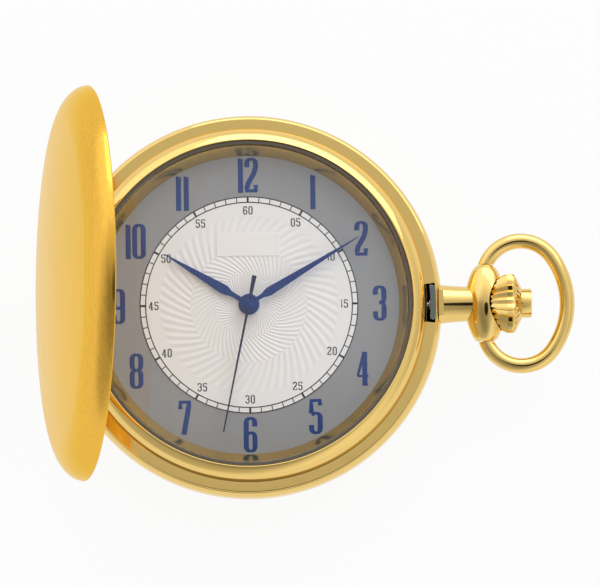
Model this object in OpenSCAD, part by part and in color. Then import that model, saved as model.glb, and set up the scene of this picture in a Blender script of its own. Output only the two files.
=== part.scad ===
// Full hunter pocket watch, lying on its back with the front cover open.
// Millimetres. +Z is the dial's normal, +X points to the pendant at 3 o'clock, +Y to 12 o'clock.
// The origin is the centre of the flat land that the back cover rests on.

/* [Case] */
// Widest diameter of the case middle
case_d = 47; // [46:0.5:50]
// Height of the back cover, from its rest face to its seam
back_h = 4.2; // [4:0.1:4.6]
// Diameter of the flat land on the back cover
land_d = 26; // [20:0.5:30]
// Height of the case middle, between its two seams
band_h = 4.1; // [4:0.05:4.4]
// How far the band draws in at its top edge
edge_draw = 0.6; // [0.45:0.05:0.7]
// How far the band draws in at the back seam
foot_draw = 0.15; // [0.1:0.05:0.25]
// Height of the widest line of the band below the ledge
girth_drop = 2.26; // [1.9:0.02:2.6]
// Outer wall of the band, beside the spring channel
band_wall = 0.72; // [0.66:0.02:0.8]
// Width of the spring channel
channel_w = 1.33; // [1.3:0.01:1.4]
// Inner wall of the case middle, which carries the bezel
inner_wall = 1.15; // [1:0.05:1.3]
// Thickness of the ledge over the spring channel
deck_t = 0.8; // [0.7:0.05:0.9]
// Wall of the back cover
back_wall = 0.6; // [0.5:0.05:0.8]
// Height of the spigot that snaps the back cover into the bore
spigot_h = 0.8; // [0.7:0.05:0.9]
// Wall of that spigot
spigot_w = 0.6; // [0.5:0.05:0.8]

/* [Front cover] */
// Radius by which the cover stands out past the widest line of the band
lid_over = 0.1; // [0.05:0.01:0.2]
// Height of the cover's shoulder
lid_h = 3.6; // [3.5:0.05:4]
// Rise of its crown above the shoulder
lid_crown = 0.65; // [0.4:0.05:0.9]
// Breadth of the rounded shoulder
lid_shoulder = 5.7; // [5.2:0.1:6.2]
// Wall of the cover
lid_wall = 0.55; // [0.45:0.05:0.6]
// Breadth of the rim that closes on the ledge
lid_lip = 0.75; // [0.7:0.01:0.8]
// Gap between the closed rim and the ledge
seam_gap = 0.05; // [0.03:0.01:0.1]
// Angle at which the cover stands open
lid_open = 80; // [60:1:90]

/* [Hinge] */
// Radius of the knuckles
knuckle_r = 0.8; // [0.7:0.05:0.9]
// Length of one knuckle
knuckle_w = 1.6; // [1.4:0.1:1.8]
// Radius of the hinge pin
hinge_pin_r = 0.35; // [0.3:0.01:0.4]
// Distance of the hinge axis inside the cover's edge
hinge_in = 0.4; // [0.35:0.05:0.45]

/* [Bezel and crystal] */
// Breadth of the ledge left outside the bezel
ledge_w = 1.25; // [1.24:0.01:1.3]
// Height of the bezel over the ledge
bezel_h = 2.45; // [2.3:0.05:2.5]
// Wall of the bezel's spigot
bezel_spigot_w = 0.37; // [0.3:0.01:0.45]
// Depth of that spigot
bezel_spigot_h = 0.35; // [0.3:0.05:0.38]
// Breadth of the sloped flange ring round the dial
flange_w = 1.63; // [1.3:0.01:2]
// Breadth of the flange ring's flat top, under the crystal
flange_rim = 0.56; // [0.5:0.02:0.7]
// Height of the flange ring
flange_h = 1.7; // [1.6:0.05:1.75]
// Thickness of the crystal at its edge
crystal_edge = 0.55; // [0.5:0.05:0.6]
// Rise of the crystal's dome
crystal_dome = 0.5; // [0.3:0.05:0.6]
// Width of the crystal gasket
gasket_w = 0.4; // [0.35:0.05:0.45]

/* [Dial and hands] */
// Thickness of the dial
dial_t = 0.4; // [0.35:0.05:0.45]
// Radius of the hole at the dial's centre
dial_hole_r = 0.75; // [0.7:0.05:0.9]
// Length of the hour hand from the centre
hour_len = 11.95; // [11:0.05:12.5]
// Length of the minute hand from the centre
minute_len = 15.7; // [15:0.05:16.5]
// Length of the second hand from the centre
second_len = 16; // [15:0.05:16.8]
// Length of the second hand's tail
tail_len = 3.5; // [3:0.1:4]
// Thickness of the hour and minute hands
hand_t = 0.18; // [0.15:0.01:0.2]
// Thickness of the second hand
second_t = 0.12; // [0.1:0.01:0.15]
// Angle of the hour hand, clockwise from 12
hour_at = 301.5; // [0:0.5:360]
// Angle of the minute hand, clockwise from 12
minute_at = 59; // [0:0.5:360]
// Angle of the second hand, clockwise from 12
second_at = 191.8; // [0:0.1:360]

/* [Pendant, crown and bow] */
// Height of the stem's axis above the rest face
stem_z = 6.5; // [6.4:0.05:6.55]
// Radius of the pendant's neck where it meets the band
neck_r = 2.4; // [2.3:0.05:2.5]
// Radius of the neck at the head
neck_top_r = 2.13; // [2:0.01:2.3]
// Depth of the flat seat for the pendant, in from the band's widest line
seat_in = 0.4; // [0.35:0.05:0.45]
// Distance of the head's axis, which the bow turns on, from the watch's centre
head_x = 28.9; // [28.8:0.05:29.2]
// Radius of the head at its middle
head_r = 2.35; // [2.2:0.05:2.4]
// Radius of the head at its ends
head_end_r = 1.25; // [1.2:0.05:1.35]
// Half length of the head
head_half = 4.66; // [4.6:0.02:4.8]
// Radius of the crown's fluted band
crown_r = 3.65; // [3.5:0.05:3.75]
// Length of the crown
crown_l = 4.4; // [4.3:0.05:4.6]
// Number of flutes round the crown
flutes = 24; // [20:1:28]
// Depth of a flute
flute_depth = 0.28; // [0.15:0.01:0.35]
// Radius of the release button
button_r = 1.72; // [1.6:0.02:1.85]
// Height of the release button above the crown
button_h = 1.25; // [1.1:0.05:1.4]
// Travel of the release button
button_travel = 0.45; // [0.4:0.01:0.45]
// Travel of the crown when it is pulled to set the hands
pull_travel = 0.8; // [0.7:0.05:0.8]
// Radius of the bow's wire
bow_r = 0.88; // [0.8:0.02:0.95]
// Radius of the bow's flatter outer arc
bow_arc_r = 9.75; // [9.5:0.05:10]
// Radius of the bow's two side arcs
bow_side_r = 4.6; // [4.5:0.05:4.7]
// Distance of each side arc's centre from the bow's middle line
bow_side_y = 3.05; // [3:0.01:3.15]
// Radius of the bow's pivots
bow_pin_r = 0.45; // [0.4:0.01:0.5]

/* [Movement] */
// Diameter of the movement
move_d = 23; // [22.6:0.1:23.4]
// Thickness of the main plate
plate_t = 1.1; // [1.05:0.01:1.15]
// Space for the motion work between the plate and the dial
motion_gap = 0.85; // [0.83:0.01:0.87]
// Depth of the train under the main plate
train_gap = 1; // [0.98:0.01:1.02]
// Thickness of the train bridge
bridge_t = 0.4; // [0.35:0.01:0.45]
// Thickness of the wheels
wheel_t = 0.15; // [0.12:0.01:0.16]
// Module of the motor wheel's and rotor's teeth
rotor_m = 0.07; // [0.068:0.001:0.072]
// Module of the seconds wheel's teeth
seconds_m = 0.1; // [0.098:0.001:0.102]
// Module of the third wheel's teeth
third_m = 0.085; // [0.084:0.001:0.086]
// Module of the motion work's teeth
motion_m = 0.11; // [0.109:0.001:0.111]
// Diameter of the battery
battery_d = 6.8; // [6.6:0.1:6.9]
// Height of the battery
battery_h = 2.1; // [2:0.05:2.15]

/* [Hidden] */
$fn = 96;
eps = 0.01;

// Clearances
slip = 0.02;       // a piece that is pushed home in its seat
run = 0.05;        // a shaft in its bearing, across the radius
pivot_run = 0.03;  // a fine pivot in its hole
swing_gap = 0.15;  // round a knuckle of the other half

// Case, from the outside in
case_r = case_d / 2;
ledge_z = back_h + band_h;
girth_z = ledge_z - girth_drop;
foot_r = case_r - foot_draw;
channel_out = case_r - band_wall;
channel_in = channel_out - channel_w;
bore_r = channel_in - inner_wall;
bezel_r = case_r - edge_draw - ledge_w;
bezel_in = bore_r - slip - bezel_spigot_w;
arc_steps = 14;
dome_steps = 10;

// Crystal, dial and flange ring
flange_r = bezel_in - 2.5 * slip;
flange_z = ledge_z + flange_h;
crystal_r = bezel_in - gasket_w;
dial_r = bezel_in - 0.15;
dial_z = ledge_z - dial_t;
foot_pin_r = 0.35;
foot_pin_at = 10.2;
foot_pin_l = 1.2;

// Front cover and its hinge
lid_r = case_r + lid_over;
lid_z = ledge_z + seam_gap;
hinge_x = -(lid_r - hinge_in);
hinge_z = ledge_z;
knuckles = 5;
knuckle_gap = 0.04;

// Springs in the channel
spring_t = 0.3;
spring_in = channel_in + 0.65;
spring_low = back_h + 0.8;
spring_high = back_h + 3;
lock_at = 50;
fly_at = 100;
fly_end = 172;
lug_r = 0.48;
screw_r = 0.28;
screw_head_r = 0.45;
screw_head_t = 0.35;
slot_in = bezel_r + eps;
slot_out = channel_out - slip;
catch_out = slot_out - 0.06;
slot_half = 2.45;
catch_half = 2.1;
catch_h = 0.45;

// Stem, sleeve and release
stem_r = 0.35;
stem_end = 3.4;
sleeve_r = 0.8;
sleeve_bore = 0.5;
sleeve_x = channel_in + 0.5;
sleeve_end = head_x + 2.1;
rod_r = sleeve_bore - 0.04;
washer_t = 0.3;
washer_r = 1.4;
washer_x = spring_in + spring_t + 0.1;
cross_r = 0.15;
cross_x = washer_x + washer_t + cross_r + slip;
release_bore = washer_r + 0.1;
release_room = pull_travel + cross_r + 0.4;
seat_x = case_r - seat_in;
square_side = 0.46;
stem_groove_x = 7.5;
stem_groove_w = 0.5;
stem_groove_r = 0.2;
gasket_x = 26.1;
gasket_l = 0.6;
gasket_seat_r = 0.62;

// Crown and button
crown_x = head_x - 0.12;
crown_end = crown_x + crown_l;
crown_gap = 0.25;
button_end = crown_end + button_h;
button_x = crown_end - 1.15;
button_room = button_x - button_travel - 0.35;

// Bow
bow_gap = 0.12;
bow_end_y = head_half + bow_gap;
bow_end_a = 180 - asin((bow_end_y - bow_side_y) / bow_side_r);
bow_x = head_x - bow_side_r * cos(bow_end_a);
bow_meet_a = asin(bow_side_y / (bow_arc_r - bow_side_r));
bow_arc_x = bow_x - (bow_arc_r - bow_side_r) * cos(bow_meet_a);
bow_pin_l = 0.8;

// Movement levels
move_r = move_d / 2;
plate_top = dial_z - motion_gap;
plate_low = plate_top - plate_t;
bridge_top = plate_low - train_gap;
bridge_low = bridge_top - bridge_t;
plate_r = move_r - run;

// Wheels: teeth, then places in the plan
rotor_teeth = 8;
motor_teeth = 48;
motor_leaves = 8;
seconds_teeth = 40;
seconds_leaves = 8;
third_teeth = 64;
third_leaves = 8;
center_teeth = 60;
cannon_teeth = 10;
minute_teeth = 30;
minute_leaves = 8;
hour_teeth = 32;
center_m = third_m * (third_teeth + seconds_leaves) / (center_teeth + third_leaves);
motor_dist = seconds_m * (seconds_teeth + motor_leaves) / 2;
rotor_dist = rotor_m * (motor_teeth + rotor_teeth) / 2;
third_dist = third_m * (third_teeth + seconds_leaves) / 2;
minute_dist = motion_m * (cannon_teeth + minute_teeth) / 2;
motor_a = 220;
third_a = 100;
motor_p = [motor_dist * cos(motor_a), motor_dist * sin(motor_a)];
rotor_p = [(motor_dist + rotor_dist) * cos(motor_a), (motor_dist + rotor_dist) * sin(motor_a)];
third_p = [third_dist * cos(third_a), third_dist * sin(third_a)];
minute_p = [minute_dist, 0];

// Wheels: levels, counted down from the main plate or up from it
center_z = plate_low - 0.33;
third_z = plate_low - 0.6;
seconds_z = plate_low - 0.9;
minute_z = plate_top + 0.1;
hour_z = plate_top + 0.4;
arbor_r = 0.12;
pipe_in = arbor_r + run;
pipe_out = 0.35;
hour_pipe_in = pipe_out + run;
hour_pipe_out = 0.6;
stud_r = 0.15;
magnet_r = 0.75;

// Hands: levels over the dial
hour_hand_z = ledge_z + 0.36;
minute_hand_z = ledge_z + 0.72;
second_hand_z = ledge_z + 1.1;
hub_r = 1.17;
collet_r = 0.62;

// Tooth form
pressure = 25;
addendum = 0.75;
dedendum = 1;
backlash = 0.07;

// Places in the movement
battery_a = -47;
battery_at = move_r - battery_d / 2 - 1.05;
battery_p = [battery_at * cos(battery_a), battery_at * sin(battery_a)];
battery_z = plate_low - 1.35;
bridge_p = [-0.6, 0.2];
bridge_r = 5.4;
pillar_ring = 4.7;
pillar_angles = [40, 160, 280];
pillar_r = 0.6;
lever_arm = 2.16;
yoke_arm = 2.4;
lever_z = plate_top + 0.05;
lever_t = 0.2;
clutch_x = 4.4;
clutch_l = 1.2;
clutch_r = 0.78;
clutch_groove_r = 0.55;
clutch_groove_w = 0.4;
coil_y = -6.3;
coil_x = -4.5;
coil_l = 5;
coil_r = 0.8;
coil_z = plate_low - 1.1;
stator_t = 0.25;

function polar(r, a) = [r * cos(a), r * sin(a)];

// Rounded shoulder of a cover, from its seam round to the start of its crown
function shoulder(r_mid, reach, rise) = [
    for (i = [0:arc_steps]) let (a = 90 * i / arc_steps)
        [r_mid + reach * cos(a), rise * sin(a)]
];

// Crown of a cover, from the shoulder to the centre
function crown_line(r_mid, rise, crown) = [
    for (i = [1:dome_steps]) let (u = 1 - i / dome_steps)
        [r_mid * u, rise + crown * pow(1 - u * u, 2)]
];

function reversed(list) = [for (i = [len(list) - 1:-1:0]) list[i]];

// Outer line of the band, from the back seam up to the ledge
function band_line() = [
    for (i = [0:8]) let (u = i / 8, z = back_h + band_h * u)
        z < girth_z
            ? [case_r - foot_draw * pow((girth_z - z) / (girth_z - back_h), 2), z]
            : [case_r - edge_draw * pow((z - girth_z) / girth_drop, 3), z]
];

// Bar bent round the centre, with rounded ends
module arc_bar(r_in, r_out, half_len, z, h) {
    r_mid = (r_in + r_out) / 2;
    r_end = (r_out - r_in) / 2;
    a = asin((half_len - r_end) / r_mid);
    translate([0, 0, z]) {
        rotate([0, 0, -a]) rotate_extrude(angle = 2 * a) translate([r_in, 0]) square([r_out - r_in, h]);
        for (s = [-1, 1]) translate(concat(polar(r_mid, s * a), 0)) cylinder(r = r_end, h = h);
    }
}

// Part of a ring between two angles
module ring_arc(r_in, r_out, z, h, from_a, to_a) {
    rotate([0, 0, from_a]) rotate_extrude(angle = to_a - from_a)
        translate([r_in, z]) square([r_out - r_in, h]);
}

module ring(r_in, r_out, z, h) {
    translate([0, 0, z]) difference() {
        cylinder(r = r_out, h = h);
        translate([0, 0, -eps]) cylinder(r = r_in, h = h + 2 * eps);
    }
}

// Round bar along the stem's axis
module along_stem(x, r, l) {
    translate([x, 0, stem_z]) rotate([0, 90, 0]) cylinder(r = r, h = l);
}

module along_stem_cone(x, r_from, r_to, l) {
    translate([x, 0, stem_z]) rotate([0, 90, 0]) cylinder(r1 = r_from, r2 = r_to, h = l);
}

module knuckle_zone(r, i, extra) {
    translate([hinge_x, (i - knuckles / 2) * knuckle_w - extra, hinge_z])
        rotate([-90, 0, 0]) cylinder(r = r, h = knuckle_w + 2 * extra);
}

module case_middle() {
    color("goldenrod") difference() {
        union() {
            rotate_extrude() polygon(concat(band_line(), [[bore_r, ledge_z], [bore_r, back_h]]));
            for (i = [0, 2, 4]) knuckle_zone(knuckle_r, i, -knuckle_gap / 2);
        }
        ring(channel_in, channel_out, back_h - eps, band_h - deck_t + eps);
        arc_bar(slot_in, slot_out, slot_half, ledge_z - deck_t - eps, deck_t + 2 * eps);
        for (i = [1, 3]) knuckle_zone(knuckle_r + swing_gap, i, knuckle_gap / 2);
        translate([hinge_x, -knuckles * knuckle_w, hinge_z]) rotate([-90, 0, 0])
            cylinder(r = hinge_pin_r + slip / 2, h = 2 * knuckles * knuckle_w);
        along_stem(seat_x, neck_r + slip, 2);
        along_stem(channel_in + 0.1, release_bore, 2);
        along_stem(bore_r - 1, stem_r + 2 * run, 3);
        for (a = [lock_at, fly_at]) translate(concat(polar(spring_in + spring_t / 2, a), 0))
            cylinder(r = screw_r, h = ledge_z - 0.2);
    }
}

module back_cover() {
    land_r = land_d / 2;
    skirt_r = bore_r - 0.3 - slip;
    inner_r = skirt_r - spigot_w;
    reach_in = foot_r - land_r - back_wall - 0.1;
    rise_in = back_h - back_wall;
    stop_a = acos((inner_r - land_r) / reach_in);
    outer = [for (i = [0:arc_steps]) let (a = 90 * (1 - i / arc_steps))
        [land_r + (foot_r - land_r) * cos(a), back_h * (1 - sin(a))]];
    inner = [for (i = [0:arc_steps]) let (a = stop_a + (90 - stop_a) * i / arc_steps)
        [land_r + reach_in * cos(a), back_h - rise_in * sin(a)]];
    color("goldenrod") rotate_extrude() polygon(concat(
        [[0, 0]], outer,
        [[skirt_r, back_h], [skirt_r, back_h + spigot_h], [inner_r, back_h + spigot_h]],
        inner, [[0, back_wall]]));
}

module back_gasket() {
    color("dimgray") ring(bore_r - 0.3, bore_r - slip, back_h + slip, 0.5);
}

module bezel() {
    crest_r = bezel_r - 1.3;
    side = [for (i = [0:arc_steps]) let (a = 90 * i / arc_steps)
        [crest_r + (bezel_r - crest_r) * cos(a), ledge_z + bezel_h * sin(a)]];
    color("gold") rotate_extrude() polygon(concat(side,
        [[bezel_in + 0.15, ledge_z + bezel_h - 0.05], [bezel_in, ledge_z + bezel_h - 0.15],
         [bezel_in, ledge_z - bezel_spigot_h], [bore_r - slip, ledge_z - bezel_spigot_h],
         [bore_r - slip, ledge_z]]));
}

module flange_ring() {
    color("goldenrod") rotate_extrude() polygon([
        [flange_r - flange_w, ledge_z], [flange_r - flange_w, ledge_z + 0.08],
        [flange_r - flange_rim, flange_z], [flange_r, flange_z], [flange_r, ledge_z]]);
}

module crystal() {
    edge_z = flange_z + crystal_edge;
    dome = [for (i = [0:dome_steps]) let (u = 1 - i / dome_steps)
        [crystal_r * u, edge_z + crystal_dome * (1 - u * u)]];
    color("lightcyan", 0.35) rotate_extrude()
        polygon(concat([[0, flange_z], [crystal_r, flange_z]], dome));
}

module crystal_gasket() {
    color("whitesmoke") ring(crystal_r + slip, bezel_in - slip, flange_z, crystal_edge);
}

module dial() {
    color("silver") difference() {
        union() {
            translate([0, 0, dial_z]) cylinder(r = dial_r, h = dial_t);
            for (a = [75, 235]) translate(concat(polar(foot_pin_at, a), dial_z - foot_pin_l))
                cylinder(r = foot_pin_r, h = foot_pin_l + eps);
        }
        translate([0, 0, dial_z - eps]) cylinder(r = dial_hole_r, h = dial_t + 2 * eps);
    }
}

module movement_ring() {
    low = back_h + spigot_h;
    color("whitesmoke") difference() {
        ring(move_r, bezel_in - run, low, dial_z - low);
        ring(bore_r - 2.2, bore_r, low + 1, dial_z - low - 1.8);
        along_stem(move_r - 1, stem_r + 2 * run, bore_r);
    }
}

// Front cover as it lies when it is shut
module front_cover_shut() {
    r_mid = lid_r - lid_shoulder;
    outer = concat(shoulder(r_mid, lid_shoulder, lid_h), crown_line(r_mid, lid_h, lid_crown));
    inner = concat(shoulder(r_mid, lid_shoulder - lid_lip, lid_h - lid_wall),
        crown_line(r_mid, lid_h - lid_wall, lid_crown));
    difference() {
        union() {
            translate([0, 0, lid_z]) rotate_extrude() polygon(concat(outer, reversed(inner)));
            for (i = [1, 3]) knuckle_zone(knuckle_r, i, -knuckle_gap / 2);
        }
        for (i = [0, 2, 4]) knuckle_zone(knuckle_r + swing_gap, i, knuckle_gap / 2);
        translate([hinge_x, -knuckles * knuckle_w, hinge_z]) rotate([-90, 0, 0])
            cylinder(r = hinge_pin_r + pivot_run, h = 2 * knuckles * knuckle_w);
    }
}

module front_cover() {
    color("goldenrod") translate([hinge_x, 0, hinge_z]) rotate([0, -lid_open, 0])
        translate([-hinge_x, 0, -hinge_z]) front_cover_shut();
}

module hinge_pin() {
    l = knuckles * knuckle_w;
    color("goldenrod") translate([hinge_x, -l / 2, hinge_z]) rotate([-90, 0, 0])
        cylinder(r = hinge_pin_r, h = l);
}

// Lug that a spring is screwed by, and the hole through it
module spring_lug(a) {
    rotate([0, 0, a]) translate([spring_in + spring_t / 2, 0, spring_low])
        cylinder(r = lug_r, h = ledge_z - deck_t - slip - spring_low);
}

module spring_hole(a) {
    rotate([0, 0, a]) translate([spring_in + spring_t / 2, 0, 0]) cylinder(r = screw_r + slip, h = ledge_z);
}

// Spring that holds the shut cover: strip, screw lug and the catch in the ledge's slot
module lock_spring() {
    arm_half = catch_half - (catch_out - spring_in) / 2;
    end_a = asin(arm_half / spring_in);
    clip = 0.4;
    fork_half = sleeve_r + 0.2;
    fork_top = stem_z + washer_r + 0.1;
    color("lightsteelblue") difference() {
        union() {
            ring_arc(spring_in, spring_in + spring_t, spring_low, spring_high - spring_low,
                -end_a, lock_at - clip);
            ring_arc(spring_in, spring_in + spring_t, spring_low,
                ledge_z - deck_t + 0.2 - spring_low, -end_a, end_a);
            arc_bar(spring_in - slip, catch_out, catch_half, ledge_z - deck_t, deck_t + catch_h);
            spring_lug(lock_at);
        }
        translate([channel_in - 1, -fork_half, 0]) cube([channel_w + 2, 2 * fork_half, fork_top]);
        spring_hole(lock_at);
    }
}

// Spring that throws the cover open, screwed into the channel beside the hinge
module fly_spring() {
    color("lightsteelblue") difference() {
        union() {
            ring_arc(spring_in, spring_in + spring_t, spring_low, spring_high - spring_low,
                fly_at, fly_end);
            spring_lug(fly_at);
        }
        spring_hole(fly_at);
    }
}

module spring_screws() {
    color("silver") for (a = [lock_at, fly_at])
        translate(concat(polar(spring_in + spring_t / 2, a), spring_low - screw_head_t)) {
            cylinder(r = screw_head_r, h = screw_head_t);
            cylinder(r = screw_r - slip / 2, h = ledge_z - 0.25 - spring_low + screw_head_t);
        }
}

// Outline of the crown from the pendant outwards: distance along the stem and radius
function crown_outline() = [
    [0, crown_r * 0.3], [0.62, crown_r * 0.62], [1.45, crown_r * 0.84],
    [2.55, crown_r * 0.985], [2.65, crown_r], [3.5, crown_r], [crown_l, button_r + 0.42]
];

// Points of the turned head, from one end to the other
function head_line() = [
    for (i = [-6:6]) let (u = abs(i) / 6)
        [head_end_r + (head_r - head_end_r) * pow(1 - pow(u, 1.7), 0.9) - 0.45 * pow(u, 12),
         head_half * i / 6]
];

// Neck on the band, bored for the release washer and the sleeve
module pendant_neck() {
    l = head_x - 0.6 - seat_x;
    translate([seat_x, 0, stem_z]) rotate([0, 90, 0]) rotate([0, 0, 20]) rotate_extrude() polygon([
        [release_bore, 0], [neck_r, 0], [neck_top_r, l],
        [sleeve_r + run, l], [sleeve_r + run, release_room], [release_bore, release_room]]);
}

// Head turned about the bow's axis, scooped out for the crown, with a hole for each bow pivot
module pendant_head() {
    scoop = [for (p = crown_outline()) [p[1] + crown_gap, crown_x + p[0] - crown_gap]];
    bore_low = head_x - 2 * head_r;
    difference() {
        translate([head_x, 0, stem_z]) rotate([-90, 0, 0]) rotate([0, 0, 75])
            rotate_extrude() polygon(concat([[0, -head_half]], head_line(), [[0, head_half]]));
        translate([0, 0, stem_z]) rotate([0, 90, 0]) rotate([0, 0, 35])
            rotate_extrude() polygon(concat(
                [[0, bore_low], [sleeve_r + run, bore_low], [sleeve_r + run, crown_x - crown_gap]],
                scoop, [[0, crown_x + crown_l]]));
        for (s = [-1, 1]) translate([head_x, s * (head_half - bow_pin_l - 0.1), stem_z])
            rotate([-90 * s, 0, 0]) cylinder(r = bow_pin_r + run, h = 2);
    }
}

module pendant() {
    color("goldenrod") difference() {
        union() {
            pendant_neck();
            pendant_head();
        }
        translate([0, 0, ledge_z]) cylinder(r = lid_r + 0.1, h = 2);
        translate([0, 0, back_h - 2]) cylinder(r = foot_r + 0.1, h = 2 + run);
    }
}

// Oval wire: one flat outer arc and a tighter arc on each side, then a pivot at each end
module bow() {
    overrun = 12;
    color("gold") translate([0, 0, stem_z]) {
        difference() {
            union() {
                translate([bow_arc_x, 0, 0]) rotate([0, 0, -bow_meet_a])
                    rotate_extrude(angle = 2 * bow_meet_a) translate([bow_arc_r, 0]) circle(r = bow_r);
                for (s = [-1, 1]) translate([bow_x, s * bow_side_y, 0])
                    rotate([0, 0, s > 0 ? bow_meet_a : -bow_end_a - overrun])
                    rotate_extrude(angle = bow_end_a + overrun - bow_meet_a)
                    translate([bow_side_r, 0]) circle(r = bow_r);
            }
            translate([head_x - 3, -bow_end_y, -2]) cube([4.5, 2 * bow_end_y, 4]);
        }
        for (s = [-1, 1]) translate([head_x, s * (head_half - bow_pin_l), 0])
            rotate([-90 * s, 0, 0]) cylinder(r = bow_pin_r, h = bow_pin_l + 2 * bow_gap);
    }
}

// Stem with its square, its groove and the sleeve that carries the crown
module stem() {
    color("silver") difference() {
        union() {
            along_stem(clutch_x + clutch_l + 0.5, stem_r, sleeve_x - clutch_x - clutch_l - 0.5 + eps);
            translate([stem_end, -square_side / 2, stem_z - square_side / 2])
                cube([clutch_x + clutch_l + 0.5 - stem_end + eps, square_side, square_side]);
            along_stem(sleeve_x, sleeve_r, sleeve_end - sleeve_x);
        }
        along_stem(sleeve_x + 0.15, sleeve_bore, sleeve_end);
        translate([cross_x - cross_r - button_travel - 0.05, -cross_r - run, stem_z - sleeve_r - 1])
            cube([button_travel + 2 * cross_r + 0.1, 2 * (cross_r + run), 2 * sleeve_r + 2]);
        translate([stem_groove_x - stem_groove_w / 2, 0, stem_z]) rotate([0, 90, 0])
            ring(stem_groove_r, stem_r + 1, 0, stem_groove_w);
        translate([gasket_x, 0, stem_z]) rotate([0, 90, 0])
            ring(gasket_seat_r, sleeve_r + 1, 0, gasket_l + 2 * slip);
    }
}

module stem_gasket() {
    color("black") translate([gasket_x + slip, 0, stem_z]) rotate([0, 90, 0])
        ring(gasket_seat_r + run, sleeve_r + 0.02, 0, gasket_l);
}

// Fluted onion crown: rings of points along its outline, each drawn in at every flute
module crown() {
    line = crown_outline();
    per_flute = 4;
    count = flutes * per_flute;
    points = [for (p = line, i = [0:count - 1])
        let (a = 360 * i / count,
             groove = pow(0.5 + 0.5 * cos(flutes * a), 0.8),
             r = p[1] - flute_depth * min(1, p[1] / crown_r) * groove)
        [r * cos(a), r * sin(a), p[0]]];
    sides = [for (k = [0:len(line) - 2], i = [0:count - 1])
        let (j = (i + 1) % count, low = k * count, high = low + count)
        each [[low + i, high + i, high + j], [low + i, high + j, low + j]]];
    top = (len(line) - 1) * count;
    faces = concat(sides, [[for (i = [0:count - 1]) i]],
        [[for (i = [count - 1:-1:0]) top + i]]);
    color("gold") translate([0, 0, stem_z]) rotate([0, 90, 0]) difference() {
        translate([0, 0, crown_x]) polyhedron(points, faces);
        rotate_extrude() polygon([
            [0, crown_x - 1], [sleeve_r + slip / 2, crown_x - 1], [sleeve_r + slip / 2, sleeve_end],
            [rod_r + run, sleeve_end], [rod_r + run, button_room], [button_r + run, button_room],
            [button_r + run, crown_end + 1], [0, crown_end + 1]]);
    }
}

module clutch_wheel() {
    teeth = 14;
    hole = square_side + 2 * slip;
    color("silver") difference() {
        union() {
            translate([clutch_x, 0, stem_z]) rotate([0, 90, 0])
                linear_extrude(clutch_l) circle(r = clutch_r - 0.14);
            for (i = [0:teeth - 1]) translate([clutch_x, 0, stem_z]) rotate([360 * i / teeth, 0, 0])
                translate([0, -0.06, clutch_groove_r]) cube([0.45, 0.12, clutch_r - clutch_groove_r]);
            along_stem(clutch_x + clutch_l - 0.25, clutch_r, 0.25);
        }
        translate([clutch_x - 1, -hole / 2, stem_z - hole / 2]) cube([clutch_l + 2, hole, hole]);
        translate([clutch_x + 0.55, 0, stem_z]) rotate([0, 90, 0])
            ring(clutch_groove_r, clutch_r + 1, 0, clutch_groove_w);
    }
}

module pusher() {
    color("gold") difference() {
        union() {
            along_stem(cross_x - cross_r - 0.12, rod_r, button_x - cross_x + cross_r + 0.12 + eps);
            along_stem(button_x, button_r, button_end - button_x - 0.12);
            along_stem_cone(button_end - 0.12, button_r, button_r - 0.12, 0.12);
        }
        translate([cross_x, 0, stem_z - 2]) cylinder(r = cross_r + slip / 2, h = 4);
    }
}

module pusher_pin() {
    l = washer_r - 0.05;
    color("silver") translate([cross_x, 0, stem_z - l]) cylinder(r = cross_r, h = 2 * l);
}

module release_washer() {
    color("silver") translate([washer_x, 0, stem_z]) rotate([0, 90, 0])
        ring(sleeve_r + run, washer_r, 0, washer_t);
}

module pusher_spring() {
    color("silver") translate([button_room + slip, 0, stem_z]) rotate([0, 90, 0])
        ring(rod_r + 0.3, button_r - 0.3, 0, button_x - button_room - 2 * slip);
}

// Flat lever on the dial side of the plate, with a pin in the stem's groove
module setting_lever() {
    half = pull_travel / 2;
    pivot = [stem_groove_x + half, lever_arm];
    tip = [stem_groove_x, 0];
    color("silver") translate([0, 0, lever_z]) {
        linear_extrude(lever_t) difference() {
            union() {
                translate(pivot) circle(r = 0.55);
                translate(tip) circle(r = 0.35);
                polygon([tip + [-0.3, 0], tip + [0.3, 0], pivot + [0.3, 0], pivot + [-0.3, 0]]);
            }
            translate(pivot) circle(r = 0.25 + pivot_run);
        }
        translate(concat(tip, stem_z + stem_groove_r + 0.03 - lever_z))
            cylinder(r = 0.13, h = lever_z - stem_z - stem_groove_r - 0.03 + eps);
    }
}

// Flat yoke that carries the clutch wheel by its groove
module yoke() {
    tip_x = clutch_x + 0.55 + clutch_groove_w / 2;
    pivot = [tip_x, -yoke_arm];
    color("silver") translate([0, 0, lever_z]) linear_extrude(lever_t - 0.02) difference() {
        union() {
            translate(pivot) circle(r = 0.55);
            translate([tip_x - 0.14, -0.3]) square([0.28, 0.6]);
            polygon([pivot + [-0.4, 0], pivot + [0.4, 0], [tip_x + 0.14, -0.29], [tip_x - 0.14, -0.29]]);
        }
        translate(pivot) circle(r = 0.25 + pivot_run);
    }
}

// Half angle of a tooth at a radius, for a true involute with a thinned flank
function roll(x) = tan(x) - x * PI / 180;
function half_tooth(n, m, r) =
    let (rp = n * m / 2, rb = rp * cos(pressure))
    90 / n - backlash * m / rp * 180 / PI
        + (roll(pressure) - (r > rb ? roll(acos(rb / r)) : 0)) * 180 / PI;

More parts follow.
